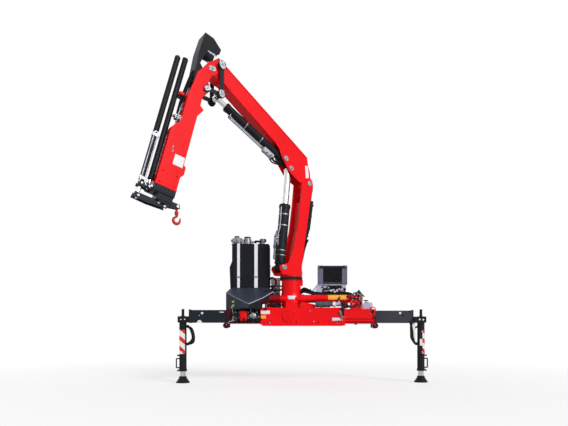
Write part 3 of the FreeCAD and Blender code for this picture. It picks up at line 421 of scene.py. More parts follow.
BRIGHT_STEEL = finish_surface("bright_steel", (0.86, 0.87, 0.90), (0.78, 0.79, 0.82),
                              (0.95, 0.95, 0.95),
                              0.35, metallic=0.35, grain=700.0)
WHITE = finish_surface("blank_white_plate", (0.86, 0.84, 0.85), (0.80, 0.78, 0.79), (0.9, 0.9, 0.9),
                       0.4, grain=300.0)
YELLOW = finish_surface("blank_yellow_plate", (1.0, 0.46, 0.04), (0.92, 0.40, 0.03), (1.0, 0.6, 0.2),
                        0.4, grain=300.0)
LIME = finish_surface("blank_lime_plate", (0.62, 0.72, 0.10), (0.52, 0.62, 0.08), (0.8, 0.85, 0.3),
                      0.4, grain=300.0)
# Very dark red that paints deep shade on red parts in shadow: the housing's left end and the beam rollers.
RED_IN_DEEP_SHADE = finish_surface("red_in_deep_shade_paint", (0.09, 0.004, 0.008), (0.06, 0.003, 0.006), (0.3, 0.05, 0.05),
                        0.4, specular=0.15, grain=400.0)
# Dark red that paints shade on red parts in shadow: the rack's left end, and the strips and block under the housing's
# ridges.
RED_IN_SHADE = finish_surface("red_in_shade_paint", (0.30, 0.004, 0.008), (0.24, 0.003, 0.006),
                          (0.5, 0.04, 0.04),
                          0.4, specular=0.13, grain=600.0)
SIDE_GREY = finish_surface("side_grey_paint", (0.16, 0.16, 0.235), (0.13, 0.13, 0.195),
                           (0.4, 0.4, 0.48),
                           0.45, specular=0.2, grain=400.0)
FILTER_GREY = finish_surface("filter_grey_paint", (0.085, 0.095, 0.125), (0.07, 0.08, 0.105),
                             (0.4, 0.42, 0.46), 0.35, specular=0.3, grain=500.0)
# The plate behind the post: its own pale blue-white, raised above the lilac grey it copies as painted light against
# the shadow of the tank and post.
PALE_BLUE_LIT = finish_surface("pale_blue_lit_paint", (0.85, 0.88, 1.0), (0.74, 0.78, 0.92), (0.95, 0.95, 1.0),
                           0.45, specular=0.3, grain=300.0)
STRIPES = striped_plate("warning_stripes")

NODE_MATERIALS = {
    RED: ("base_frame stabiliser_housing housing_plates column_post slew_rack_cylinders column inner_boom lifting_eye "
          "outer_boom tank_cradle right_valve_block"),
    BLACK: ("slew_ring lift_cylinder_barrel fold_cylinder_barrel knuckle_link_inner knuckle_link_outer "
            "extension_cylinder_1_barrel extension_cylinder_2_barrel left_leg_tube right_leg_tube "
            "left_pad right_pad left_levers left_valve_bank beam_lock_levers left_leg_trim right_leg_trim"),
    BLUE_BLACK: "extension_1 extension_2 left_beam",
    PLASTIC: "oil_tank hose_guard column_hose_guard",
    SLATE: "control_cover",
    GREY: "right_beam",
    COOLER_GREY: "oil_cooler",
    PALE_BLUE_LIT: "valve_plate",
    FILTER_GREY: "return_filter",
    PALE: "cooler_bracket end_plate",
    RED_IN_DEEP_SHADE: "beam_rollers",
    CHROME: ("lift_cylinder_rod fold_cylinder_rod extension_cylinder_1_rod extension_cylinder_2_rod "
             "left_leg_rod right_leg_rod"),
    ZINC: ("main_pivot_pin lift_base_pin inner_boom_pins knuckle_pin hook_pin boom_valve tank_caps "
           "lift_cylinder_valve fold_cylinder_valve extension_pipes"),
    BRIGHT_STEEL: "tank_straps",
    ORANGE: "hook hook_swivel",
}


def dress_nodes():
    """Give each node its finish, and paint shade on some faces of the cover and the rack."""
    for material, names in NODE_MATERIALS.items():
        for name in names.split():
            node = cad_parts[name]
            node.data.materials.clear()
            node.data.materials.append(material)
    # The cover's faces that look front-right are painted black: painted shade below the folded edge.
    shade_faces("control_cover", BLACK, lambda face: face.normal.x > 0.35 and face.normal.y < -0.2)
    # The rack's faces left of the post get the darker red: painted shade.
    shade_faces("slew_rack_cylinders", RED_IN_SHADE, lambda face: face.center.x < -0.275)


def shade_faces(name, material, chosen):
    """Give a node's chosen faces a second material; both uses here paint shade on them."""
    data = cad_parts[name].data
    data.materials.append(material)
    for face in data.polygons:
        if chosen(face):
            face.material_index = 1


# Stage

def floor_material():
    """White that stays white far off and takes a soft shadow near the object."""
    material, nodes, links, shader = new_material("floor")
    nodes.remove(shader)
    diffuse = nodes.new("ShaderNodeBsdfDiffuse")
    diffuse.inputs["Color"].default_value = (0.55, 0.55, 0.56, 1.0)
    lift = nodes.new("ShaderNodeEmission")
    lift.inputs["Strength"].default_value = 0.52
    white = nodes.new("ShaderNodeEmission")
    white.inputs["Strength"].default_value = 1.0
    both = nodes.new("ShaderNodeAddShader")
    links.new(diffuse.outputs["BSDF"], both.inputs[0])
    links.new(lift.outputs["Emission"], both.inputs[1])
    place = nodes.new("ShaderNodeTexCoord")
    length = nodes.new("ShaderNodeVectorMath")
    length.operation = "LENGTH"
    links.new(place.outputs["Object"], length.inputs[0])
    far = spread(nodes, links, length.outputs["Value"], 2.6, 7.5, 0.0, 1.0)
    mixed = nodes.new("ShaderNodeMixShader")
    links.new(far, mixed.inputs["Fac"])
    links.new(both.outputs["Shader"], mixed.inputs[1])
    links.new(white.outputs["Emission"], mixed.inputs[2])
    plain = nodes.new("ShaderNodeBsdfDiffuse")
    plain.inputs["Color"].default_value = (0.8, 0.8, 0.8, 1.0)
    path = nodes.new("ShaderNodeLightPath")
    seen = nodes.new("ShaderNodeMixShader")
    links.new(path.outputs["Is Camera Ray"], seen.inputs["Fac"])
    links.new(plain.outputs["BSDF"], seen.inputs[1])
    links.new(mixed.outputs["Shader"], seen.inputs[2])
    links.new(seen.outputs["Shader"], nodes["Material Output"].inputs["Surface"])
    return material


def make_stage():
    scene = bpy.context.scene
    mesh = bpy.data.meshes.new("floor")
    half = 40.0
    corners = [(-half, -half, 0), (half, -half, 0), (half, half, 0), (-half, half, 0)]
    mesh.from_pydata(corners, [], [(0, 1, 2, 3)])
    floor = bpy.data.objects.new("floor", mesh)
    floor.location = (0.0, 0.0, FLOOR_Z)
    scene.collection.objects.link(floor)
    mesh.materials.append(floor_material())

    world = bpy.data.worlds.new("studio")
    scene.world = world
    world.use_nodes = True
    nodes, links = world.node_tree.nodes, world.node_tree.links
    soft = nodes["Background"]
    soft.inputs["Color"].default_value = (1.0, 1.0, 1.0, 1.0)
    soft.inputs["Strength"].default_value = 0.42
    bright = nodes.new("ShaderNodeBackground")
    bright.inputs["Color"].default_value = (1.0, 1.0, 1.0, 1.0)
    bright.inputs["Strength"].default_value = 1.0
    path = nodes.new("ShaderNodeLightPath")
    either = nodes.new("ShaderNodeMath")
    either.operation = "MAXIMUM"
    links.new(path.outputs["Is Camera Ray"], either.inputs[0])
    links.new(path.outputs["Is Glossy Ray"], either.inputs[1])
    mixed = nodes.new("ShaderNodeMixShader")
    links.new(either.outputs["Value"], mixed.inputs["Fac"])
    links.new(soft.outputs["Background"], mixed.inputs[1])
    links.new(bright.outputs["Background"], mixed.inputs[2])
    links.new(mixed.outputs["Shader"], nodes["World Output"].inputs["Surface"])

    for name, aim, strength, angle in (
        ("key", (-0.55, 0.72, -0.42), 1.9, 25.0),
        ("fill", (0.35, -0.75, -0.55), 0.35, 60.0),
    ):
        lamp = bpy.data.lights.new(name, "SUN")
        lamp.energy = strength
        lamp.angle = math.radians(angle)
        lamp_object = bpy.data.objects.new(name, lamp)
        lamp_object.rotation_mode = "QUATERNION"
        lamp_object.rotation_quaternion = Vector(aim).to_track_quat("-Z", "Y")
        scene.collection.objects.link(lamp_object)


def make_camera():
    data = bpy.data.cameras.new("camera")
    data.sensor_width = SENSOR
    data.lens = FOCAL_PIXELS * SENSOR / FRAME_WIDTH
    data.shift_y = (HORIZON_PIXEL - FRAME_HEIGHT / 2) / FRAME_WIDTH
    camera = bpy.data.objects.new("camera", data)
    camera.location = CAMERA_PLACE
    camera.rotation_euler = (math.radians(90), 0, 0)
    bpy.context.scene.collection.objects.link(camera)
    bpy.context.scene.camera = camera


# Places on the cylinders

LIFT_BASE, LIFT_HEAD = (200.0, 822.0), (58.0, 2245.0)
FOLD_BASE, LINK_LOW = (147.0, 2368.0), (1185.0, 3022.0)
LINK_TOP, LINK_OUT = (1177.0, 3406.0), (1374.0, 3061.0)
PIVOT = (-230.0, 2058.0)


def cylinder_place(base, head):
    """Places (distance, side, off) along a cylinder, where off is below or in front of it."""
    length = math.hypot(head[0] - base[0], head[1] - base[1])
    dx, dz = (head[0] - base[0]) / length, (head[1] - base[1]) / length

    def place(distance, side, off):
        return boom_point(base[0] + dx * distance + dz * off, side, base[1] + dz * distance - dx * off)
    return place


lift_place = cylinder_place(LIFT_BASE, LIFT_HEAD)
fold_place = cylinder_place(FOLD_BASE, LINK_LOW)


def oval(centre, long, wide, lean, steps=10):
    """The outline of a plate with two round ends."""
    outline = []
    straight = (long - wide) / 2
    for side in (1, -1):
        for step in range(steps + 1):
            angle = math.pi * step / steps - math.pi / 2 + (0 if side > 0 else math.pi)
            u = side * straight + wide / 2 * math.cos(angle)
            v = wide / 2 * math.sin(angle)
            outline.append((centre[0] + u * math.cos(lean) - v * math.sin(lean),
                            centre[1] + u * math.sin(lean) + v * math.cos(lean)))
    return outline


# name, body, place, side of the plate's face, length, width, lean in degrees
KEEPERS = (
    ("link_top_keeper", "inner_boom", LINK_TOP, 168.0, 122.0, 76.0, 72.0),
    ("knuckle_keeper", "outer_boom", KNUCKLE, 110.0, 104.0, 66.0, 8.0),
    ("link_low_keeper", "link_inner", LINK_LOW, 168.0, 104.0, 74.0, 78.0),
    ("link_out_keeper", "link_outer", LINK_OUT, 136.0, 92.0, 62.0, -14.0),
    ("lift_head_keeper", "inner_boom", LIFT_HEAD, 92.0, 76.0, 58.0, 50.0),
    ("fold_base_keeper", "inner_boom", FOLD_BASE, 97.0, 76.0, 58.0, 50.0),
    ("pivot_keeper", "column", PIVOT, 128.0, 74.0, 60.0, 80.0),
    ("lift_base_keeper", "column", LIFT_BASE, 128.0, 84.0, 64.0, 10.0),
)


def pin_keepers():
    """Plated oval plates that hold the pins, on both sides, each with its pin end and bolt."""
    for name, body, centre, face, long, wide, lean in KEEPERS:
        kit = Kit()
        lean = math.radians(lean)
        for side in (1, -1):
            a, b = sorted((side * (face + 0.2), side * (face + 6.0)))
            kit.prism(oval(centre, long, wide, lean), boom_point, a, b, 1.2)
            out = ACROSS * side
            kit.pin_end(boom_point(centre[0], side * (face + 5.0), centre[1]), out, wide * 0.30, 6.0)
            reach = long / 2 - 12
            kit.bolt(boom_point(centre[0] + reach * math.cos(lean), side * (face + 5.5),
                                centre[1] + reach * math.sin(lean)), out, 13.0, 7.0)
        kit.keep(name, body, ZINC)


def weld(kit, places, radius=3.0):
    """A weld bead: a thin bar along a seam."""
    path = []
    for start, end in zip(places, places[1:]):
        count = max(2, int((end - start).length / (9 * MM)))
        path += [start.lerp(end, step / count) for step in range(count)]
    path.append(places[-1])
    kit.sweep(path, radius, 6)


def column_details():
    kit = Kit()
    for side in (-1, 1):
        n = side * 120.5
        weld(kit, [boom_point(-104, n, 723), boom_point(214, n, 723)], 5)
        weld(kit, [boom_point(-104, side * 121, 858), boom_point(-155, side * 121, 1208),
                   boom_point(-256, side * 121, 1841)], 2.5)
    for index in range(28):
        angle = 2 * math.pi * index / 28
        start = base_point(COLUMN_X + 149 * math.cos(angle), 149 * math.sin(angle), 722)
        local = (start - boom_point(0, 0, 722)) / MM
        reach = local.dot(direction(boom_point, (0, 0, 0), (1, 0, 0)))
        if abs(local.dot(ACROSS)) > 124 or reach < -118:
            kit.bolt(start, UP, 14, 9)
    kit.keep("column_seams", "column", RED)

    hoses = Kit()
    for n in (-42, -16, 14, 40):
        hoses.hose(boom_point, [(-262, n, 1262), (-206, n, 1120), (-166, n, 960), (-138, n, 840),
                                (-150, n, 752)], 12)
        hoses.hose(boom_point, [(-306, n, 1815), (-322, n, 1930), (-342, n, 2030), (-322, n, 2130),
                                (-262, n, 2170)], 11)
    hoses.keep("column_hoses", "column", RUBBER)

    guard = Kit()
    for z in (1300, 1440, 1600, 1760):
        reach = -225 - (z - 1240) * 0.215
        guard.block(boom_point, (reach - 22, -63, z), (reach + 40, 63, z + 14), 2)
    guard.keep("hose_guard_bands", "column", BLACK)


def lift_cylinder_details():
    kit = Kit()
    axis = direction(lift_place, (0, 0, 0), (1, 0, 0))
    kit.turned(lift_place(858, 0, 0), axis, [(0, 75.5), (3, 80), (52, 80), (57, 76), (58, 60),
                                             (66, 58),
                                           (68, 52)], 48)
    kit.turned(lift_place(58, 0, 0), axis, [(0, 68), (4, 79), (26, 79), (31, 75.5)], 48)
    for angle in range(0, 360, 60):
        spoke = ACROSS * math.cos(math.radians(angle)) + direction(
            lift_place, (0, 0, 0), (0, 0, 1)) * math.sin(math.radians(angle))
        kit.bolt(lift_place(885, 0, 0) + spoke * 79 * MM, spoke, 10, 5)
    kit.keep("lift_cylinder_collars", "lift_barrel", BLACK)

    valve = Kit()
    off = direction(lift_place, (0, 0, 0), (0, 0, 1))
    for distance, side in ((300, -14), (300, 14), (372, 0), (436, -14), (436, 14)):
        valve.bolt(lift_place(distance, side, 114), off, 15, 9)
    valve.turned(lift_place(330, 29, 96), ACROSS, [(0, 18), (14, 18), (15, 12), (34, 12), (36, 8)], 20)
    valve.turned(lift_place(410, 29, 96), ACROSS, [(0, 20), (10, 20), (11, 14), (26, 14), (28, 9)], 6)
    valve.turned(lift_place(469, 0, 98), axis, [(0, 19), (26, 19), (27, 12), (52, 12), (54, 7)], 6)
    valve.turned(lift_place(200, 21, 99), axis, [(0, 12), (18, 12)], 6)
    valve.turned(lift_place(150, -21, 99), axis, [(0, 12), (18, 12)], 6)
    for distance in (170, 240, 600, 760):
        valve.turned(lift_place(distance, 0, 0), axis, [(0, 76.5), (1, 77.5), (17, 77.5),
                                                        (18, 76.5)], 48)
    valve.pipe(lift_place, [(440, 40, 100), (480, 44, 92), (560, 44, 76), (860, 40, 78),
                            (872, 34, 70)], 8)
    valve.keep("lift_valve_fittings", "lift_barrel", ZINC)

    hose = Kit()
    hose.hose(lift_place, [(345, 44, 100), (290, 62, 112), (190, 66, 116), (90, 60, 96),
                           (40, 56, 50)], 10)
    hose.hose(lift_place, [(300, 52, 96), (230, 78, 90), (130, 80, 70), (70, 72, 30)], 10)
    hose.keep("lift_hoses", "lift_barrel", RUBBER)


def inner_boom_details():
    kit = Kit()
    top = [(-216, 2433), (1200, 3514), (1191, 3526), (-225, 2445)]
    under = [(330, 2575), (1115, 3199), (1123, 3189), (338, 2565)]
    for side in (-1, 1):
        a, b = sorted((side * 80, side * 98))
        kit.prism([(u + 7, v - 9) for u, v in top], boom_point, a, b, 2)
        a, b = sorted((side * 84, side * 95))
        kit.prism([(u - 4, v + 5) for u, v in under], boom_point, a, b, 2)
        weld(kit, [boom_point(-50, side * 92.5, 2112), boom_point(74, side * 92.5, 2196),
                   boom_point(205, side * 92.5, 2378)], 2.5)
    for angle in range(0, 360, 30):
        reach = 1177 + 46 * math.cos(math.radians(angle))
        height = 3406 + 46 * math.sin(math.radians(angle))
        kit.ball(boom_point(reach, 92, height), 3)
    kit.keep("inner_boom_seams", "inner_boom", RED)

    plate = Kit()
    plate.prism([(-190, 2138), (-244, 2146), (-231, 2320), (-178, 2318)], boom_point, 92.2, 94.2, 0.8)
    plate.keep("blank_name_plate", "inner_boom", WHITE)

    cable = Kit()
    for n in (70, -70):
        cable.hose(boom_point, [(-252, n * 0.5, 2290), (-150, n * 0.9, 2270), (60, n, 2300),
                                (180, n, 2420)], 9, False)
    cable.keep("root_hoses", "inner_boom", RUBBER)


def fold_cylinder_details():
    kit = Kit()
    axis = direction(fold_place, (0, 0, 0), (1, 0, 0))
    kit.turned(fold_place(1018, 0, 0), axis, [(0, 56.5), (3, 61), (46, 61), (51, 57), (52, 42),
                                              (60, 40),
                                            (62, 34)], 44)
    kit.turned(fold_place(46, 0, 0), axis, [(0, 50), (4, 60), (22, 60), (27, 56.5)], 44)
    kit.keep("fold_cylinder_collars", "fold_barrel", BLACK)

    valve = Kit()
    off = direction(fold_place, (0, 0, 0), (0, 0, 1))
    for distance, side in ((170, -14), (170, 14), (310, -14), (310, 14)):
        valve.bolt(fold_place(distance, side, 113), off, 14, 8)
    valve.turned(fold_place(200, 28, 88), ACROSS, [(0, 18), (14, 18), (15, 12), (32, 12), (34, 8)], 20)
    valve.turned(fold_place(265, 28, 92), ACROSS, [(0, 20), (12, 20), (13, 13), (30, 13)], 6)
    valve.turned(fold_place(329, 0, 88), axis, [(0, 18), (20, 18), (21, 12), (44, 12), (46, 7)], 6)
    for distance in (420, 700):
        valve.turned(fold_place(distance, 0, 0), axis, [(0, 57.5), (1, 58.5), (15, 58.5),
                                                        (16, 57.5)], 44)
    valve.turned(fold_place(948, 21, 74), off, [(0, 15), (10, 15), (11, 10), (20, 10)], 6)
    valve.keep("fold_valve_fittings", "fold_barrel", ZINC)

    hose = Kit()
    for side in (26, -26, 44):
        hose.hose(fold_place, [(170, side, 108), (120, side + 8, 132), (60, side + 6, 110),
                               (10, side, 78), (-20, side, 52)], 10)
    hose.keep("fold_hoses", "fold_barrel", RUBBER)


def outer_boom_details():
    kit = Kit()
    for side in (-1, 1):
        face = side * 110.5
        weld(kit, [outer_point(60, face, 122), outer_point(144, face, 172),
                   outer_point(327, face, 186)], 2.5)
        for down, out in ((1700, 60), (1700, 250), (1560, 60), (1560, 250)):
            kit.bolt(outer_point(down, side * 110, out), ACROSS * side, 17, 9)
        a, b = sorted((side * 97, side * 116))
        kit.prism([(1722, 14), (1751, 14), (1751, 302), (1722, 302)], outer_point, a, b, 2)
    for out in (203, 212):
        kit.block(outer_point, (480, -108, out), (850, 108, out + 4), 1)
    kit.prism([(470, 208), (506, 208), (506, 300), (488, 316), (470, 300)], outer_point, 24, 60, 2)
    kit.keep("outer_boom_seams", "outer_boom", RED)

    plate = Kit()
    plate.block(outer_point, (1292, 110.2, 22), (1432, 112.4, 160), 1)
    plate.keep("blank_sign", "outer_boom", WHITE)

    fittings = Kit()
    for down, out in ((812, 232), (812, 268), (846, 232), (846, 268)):
        fittings.turned(outer_point(down, 104, out), ACROSS,
                        [(0, 13), (10, 13), (11, 9), (30, 9), (31, 7)], 6)
    for side, out in ((56, 288), (90, 288)):
        fittings.turned(outer_point(826, side, out), direction(outer_point, (0, 0, 0), (0, 0, 1)),
                        [(0, 14), (12, 14), (13, 9), (30, 9)], 6)
    fittings.pipe(outer_point, [(780, 73, 248), (700, 73, 250), (600, 60, 230)], 7)
    fittings.pipe(outer_point, [(826, 118, 268), (826, 132, 268), (760, 134, 262),
                                (700, 112, 235)], 7, 22)
    for down, out in ((1216, 222), (1276, 216)):
        fittings.bolt(outer_point(down, 110, out - 12), ACROSS, 13, 7)
    fittings.pipe(outer_point, [(1230, 112, 214), (1250, 122, 210), (1268, 112, 206)], 4, 12)
    fittings.keep("boom_valve_fittings", "outer_boom", ZINC)

    hoses = Kit()
    for side, lift in ((-60, 0), (-30, 10), (0, 4), (30, 12), (58, 0)):
        hoses.hose(outer_point, [(120, side, 198 + lift), (230, side, 214 + lift),
                                 (480, side, 236 + lift), (690, side, 238 + lift),
                                 (792, side * 0.5 + 40, 250)], 10)
    hoses.keep("outer_boom_hoses", "outer_boom", RUBBER)

    strip = Kit()
    strip.block(outer_point, (-196, 108.5, -8), (-176, 112, 120), 1)
    strip.block(outer_point, (-196, -112, -8), (-176, -108.5, 120), 1)
    for out in (10, 60, 108):
        strip.bolt(outer_point(-186, 111, out), ACROSS, 12, 6)
    strip.keep("hose_guard_strip", "outer_boom", ZINC)

    caps = Kit()
    down_axis = direction(outer_point, (0, 0, 0), (1, 0, 0))
    caps.turned(outer_point(4, 0, 340), down_axis, [(0, 26), (8, 34), (22, 37.5), (34, 37.5),
                                                    (38, 36)], 32)
    caps.turned(outer_point(1672, 0, 340), down_axis, [(0, 36.5), (2, 39), (26, 39), (29, 30),
                                                       (34, 27)], 32)
    caps.keep("first_extension_cylinder_caps", "outer_boom", BLACK)


def extension_details():
    down_axis = direction(outer_point, (0, 0, 0), (1, 0, 0))
    kit = Kit()
    for side in (-1, 1):
        for low, high in ((26, 112), (124, 208), (216, 290)):
            a, b = sorted((side * 112, side * 117))
            kit.block(outer_point, (1764, a, low), (1824, b, high), 2)
            kit.bolt(outer_point(1794, side * 117, (low + high) / 2), ACROSS * side, 12, 6)
    kit.turned(outer_point(30, 0, 440), down_axis, [(0, 20), (6, 30), (20, 37), (36, 37), (40, 36)],
               32)
    kit.keep("first_extension_pads", "extension_1", BLUE_BLACK)

    pads = Kit()
    for side in (-1, 1):
        for low, high in ((34, 122), (132, 222)):
            a, b = sorted((side * 98, side * 103))
            pads.block(outer_point, (1850, a, low), (1912, b, high), 2)
            pads.bolt(outer_point(1880, side * 103, (low + high) / 2), ACROSS * side, 12, 6)
    pads.keep("second_extension_pads", "extension_2", BLUE_BLACK)

    pins = Kit()
    for side in (-1, 1):
        for down, out in ((1804, 340), (1800, 440), (1786, 316)):
            pins.pin_end(outer_point(down, side * 58, out), ACROSS * side, 15, 8)
    pins.ball(outer_point(16, 0, 440), 15)
    pins.turned(outer_point(26, 0, 440), down_axis, [(0, 12), (8, 22), (10, 22)], 24)
    for down in (1150, 1735):
        for out in (404, 476):
            pins.bolt(outer_point(down, 53, out), ACROSS, 12, 7)
    pins.pipe(outer_point, [(1150, 45, 418), (1108, 45, 418), (1108, 45, 462),
                            (1150, 45, 462)], 8.5, 22)
    pins.pipe(outer_point, [(1735, 45, 418), (1790, 52, 400), (1812, 60, 380)], 8, 22)
    pins.pipe(outer_point, [(1735, 45, 462), (1772, 48, 470), (1800, 40, 478)], 8, 22)
    pins.keep("first_extension_pins", "extension_1", BRIGHT_STEEL)

    tips = Kit()
    for side in (-1, 1):
        for down, out in ((1965, 440), (1950, 176), (1966, 92)):
            tips.pin_end(outer_point(down, side * 58, out), ACROSS * side, 15, 8)
        tips.pin_end(outer_point(1894, side * 46, -74), ACROSS * side, 19, 7)
    tips.keep("second_extension_pins", "extension_2", BRIGHT_STEEL)

    hoses = Kit()
    for side, out in ((22, 396), (-22, 396)):
        hoses.hose(outer_point, [(1812, side * 2.6, 380), (1842, side * 2.8, 350),
                                 (1846, side * 2.6, 318), (1820, side * 2.4, 296)], 8)
    hoses.keep("extension_hoses", "extension_1", RUBBER)


HOOK_HEIGHT_DROP = 171.0
HOOK_CURVE = (
    # angle from above in degrees, distance from the middle, thickness
    (86, 42, 11), (60, 42, 14), (30, 43, 17), (0, 44, 19), (-30, 44, 20), (-60, 44, 20), (-90, 44, 20),
    (-120, 44, 19), (-150, 44, 16), (180, 45, 13), (158, 50, 9), (146, 60, 5),
)


def hook_details():
    """A forged hook that thickens at its belly and thins towards its point, with its latch."""
    reach = KNUCKLE[0] + 1894 * math.sin(OUTER_TILT) - 74 * math.cos(OUTER_TILT)
    height = KNUCKLE[1] - 1894 * math.cos(OUTER_TILT) - 74 * math.sin(OUTER_TILT)
    centre = height - HOOK_HEIGHT_DROP
    places, radii = [], []
    for angle, distance, thick in HOOK_CURVE:
        turn = math.radians(angle)
        places.append(boom_point(reach + distance * math.cos(turn), 0,
                                 centre + distance * math.sin(turn)))
        radii.append(thick)
    kit = Kit()
    kit.tapered(places, radii)
    kit.turned(boom_point(reach, 0, centre + 38), UP, [(0, 14), (12, 16), (24, 18), (30, 24), (44, 24),
                                                      (46, 20)], 32)
    kit.prism([(reach + 3, centre + 30), (reach + 12, centre + 36), (reach + 50, centre + 34),
               (reach + 52, centre + 28)], boom_point, -9, 9, 2)
    piece = kit.keep("forged_hook", "hook", ORANGE)
    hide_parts("hook")


def arc_sheet(kit, axis_start, along, radius, thick, span_start, span_end, length, first, second):
    """A thin sheet wrapped round a cylinder, between two angles in degrees from first to second."""
    steps = 14
    outline = []
    for grow in (0.3, 0.3 + thick):
        row = []
        for step in range(steps + 1):
            angle = math.radians(span_start + (span_end - span_start) * step / steps)
            row.append(((radius + grow) * math.cos(angle), (radius + grow) * math.sin(angle)))
        outline += row if grow == 0.3 else row[::-1]

    def place(u, distance, v):
        return axis_start + (first * u + second * v + along * distance) * MM
    kit.prism(outline, place, 0, length, 0)


def base_details():
    kit = Kit()
    boss_x, boss_z = COLUMN_X - 34, 140
    for index in range(8):
        angle = 2 * math.pi * (index + 0.5) / 8
        kit.bolt(base_point(boss_x + 76 * math.cos(angle), -264, boss_z + 76 * math.sin(angle)),
                 FORWARD, 15, 8)
    kit.turned(base_point(boss_x, -263, boss_z), FORWARD,
               [(0, 40), (5, 40), (7, 37), (7, 12), (13, 10)], 36)
    for x in (-520, -300, 120, 380, 570):
        kit.bolt(base_point(x, -249.5, 40), FORWARD, 12, 6)
    for side in (-1, 1):
        weld(kit, [base_point(-547, side * 251, 19), base_point(603, side * 251, 19)], 4)
    kit.block(base_point, (-578, -250, 12), (-553, -212, 236), 2)
    kit.keep("base_bolts_and_welds", "root", RED)
    marks = Kit()
    for x, y, z in ((172, -250, 53), (968, -209, 167), (123, -250, 203)):
        marks.bolt(base_point(x, y, z), FORWARD, 13, 6)
    marks.keep("base_plated_bolts", "root", ZINC)

    ribs = Kit()
    for side in (-1, 1):
        for x in (-420, -60, 250, 520):
            outline = [(side * 250, 16), (side * 288, 16), (side * 262, 78), (side * 250, 78)]
            ribs.prism(outline, side_point, x - 5, x + 5, 1.5)
    ribs.keep("base_foot_ribs", "root", RED)

    studs = Kit()
    for x in (-440, 500):
        for y in (-272, 272):
            studs.turned(base_point(x, y, 17), UP, [(0, 17), (3, 17), (3, 15), (16, 15), (18, 13),
                                                    (18, 9),
                                                   (30, 9), (32, 7)], 6)
    studs.keep("foot_fixings", "root", ZINC)

    for name, material, x0, x1, z0, z1 in (
        ("blank_white_label", WHITE, -570, -442, 160, 210),
        ("blank_orange_label", YELLOW, -570, -498, 97, 142),
        ("blank_small_label", WHITE, 429, 573, 66, 109),
    ):
        label = Kit()
        label.block(base_point, (x0, -252.0, z0), (x1, -250.4, z1), 0.5)
        label.keep(name, "root", material)


def post_details():
    label = Kit()
    arc_sheet(label, base_point(COLUMN_X, 0, 376), UP, 146, 1.2, -111, -61, 49, EAST,
              Vector((0, 1, 0)))
    label.keep("blank_post_label", "root", WHITE)
    sleeve = Kit()
    sleeve.turned(base_point(COLUMN_X, 0, 318), UP, [(0, 140), (6, 146), (140, 146), (152, 139)], 72)
    sleeve.keep("post_rack_housing", "root", RED)
    kit = Kit()
    kit.turned(base_point(COLUMN_X, 0, 658), UP, [(0, 158), (4, 162), (38, 162), (42, 158)], 72)
    kit.keep("slew_ring_seal", "root", BLACK)
    bolts = Kit()
    for index in range(16):
        angle = 2 * math.pi * (index + 0.5) / 16
        start = base_point(COLUMN_X + 150 * math.cos(angle), 150 * math.sin(angle), 658)
        bolts.bolt(start, -UP, 13, 8)
    weld(bolts, [base_point(COLUMN_X + 139 * math.cos(a / 20 * math.pi),
                            139 * math.sin(a / 20 * math.pi), 255)
                 for a in range(41)], 5)
    bolts.keep("post_flange", "root", RED)


RACK_FRONT, RACK_HEIGHT = 95.0, 389.0


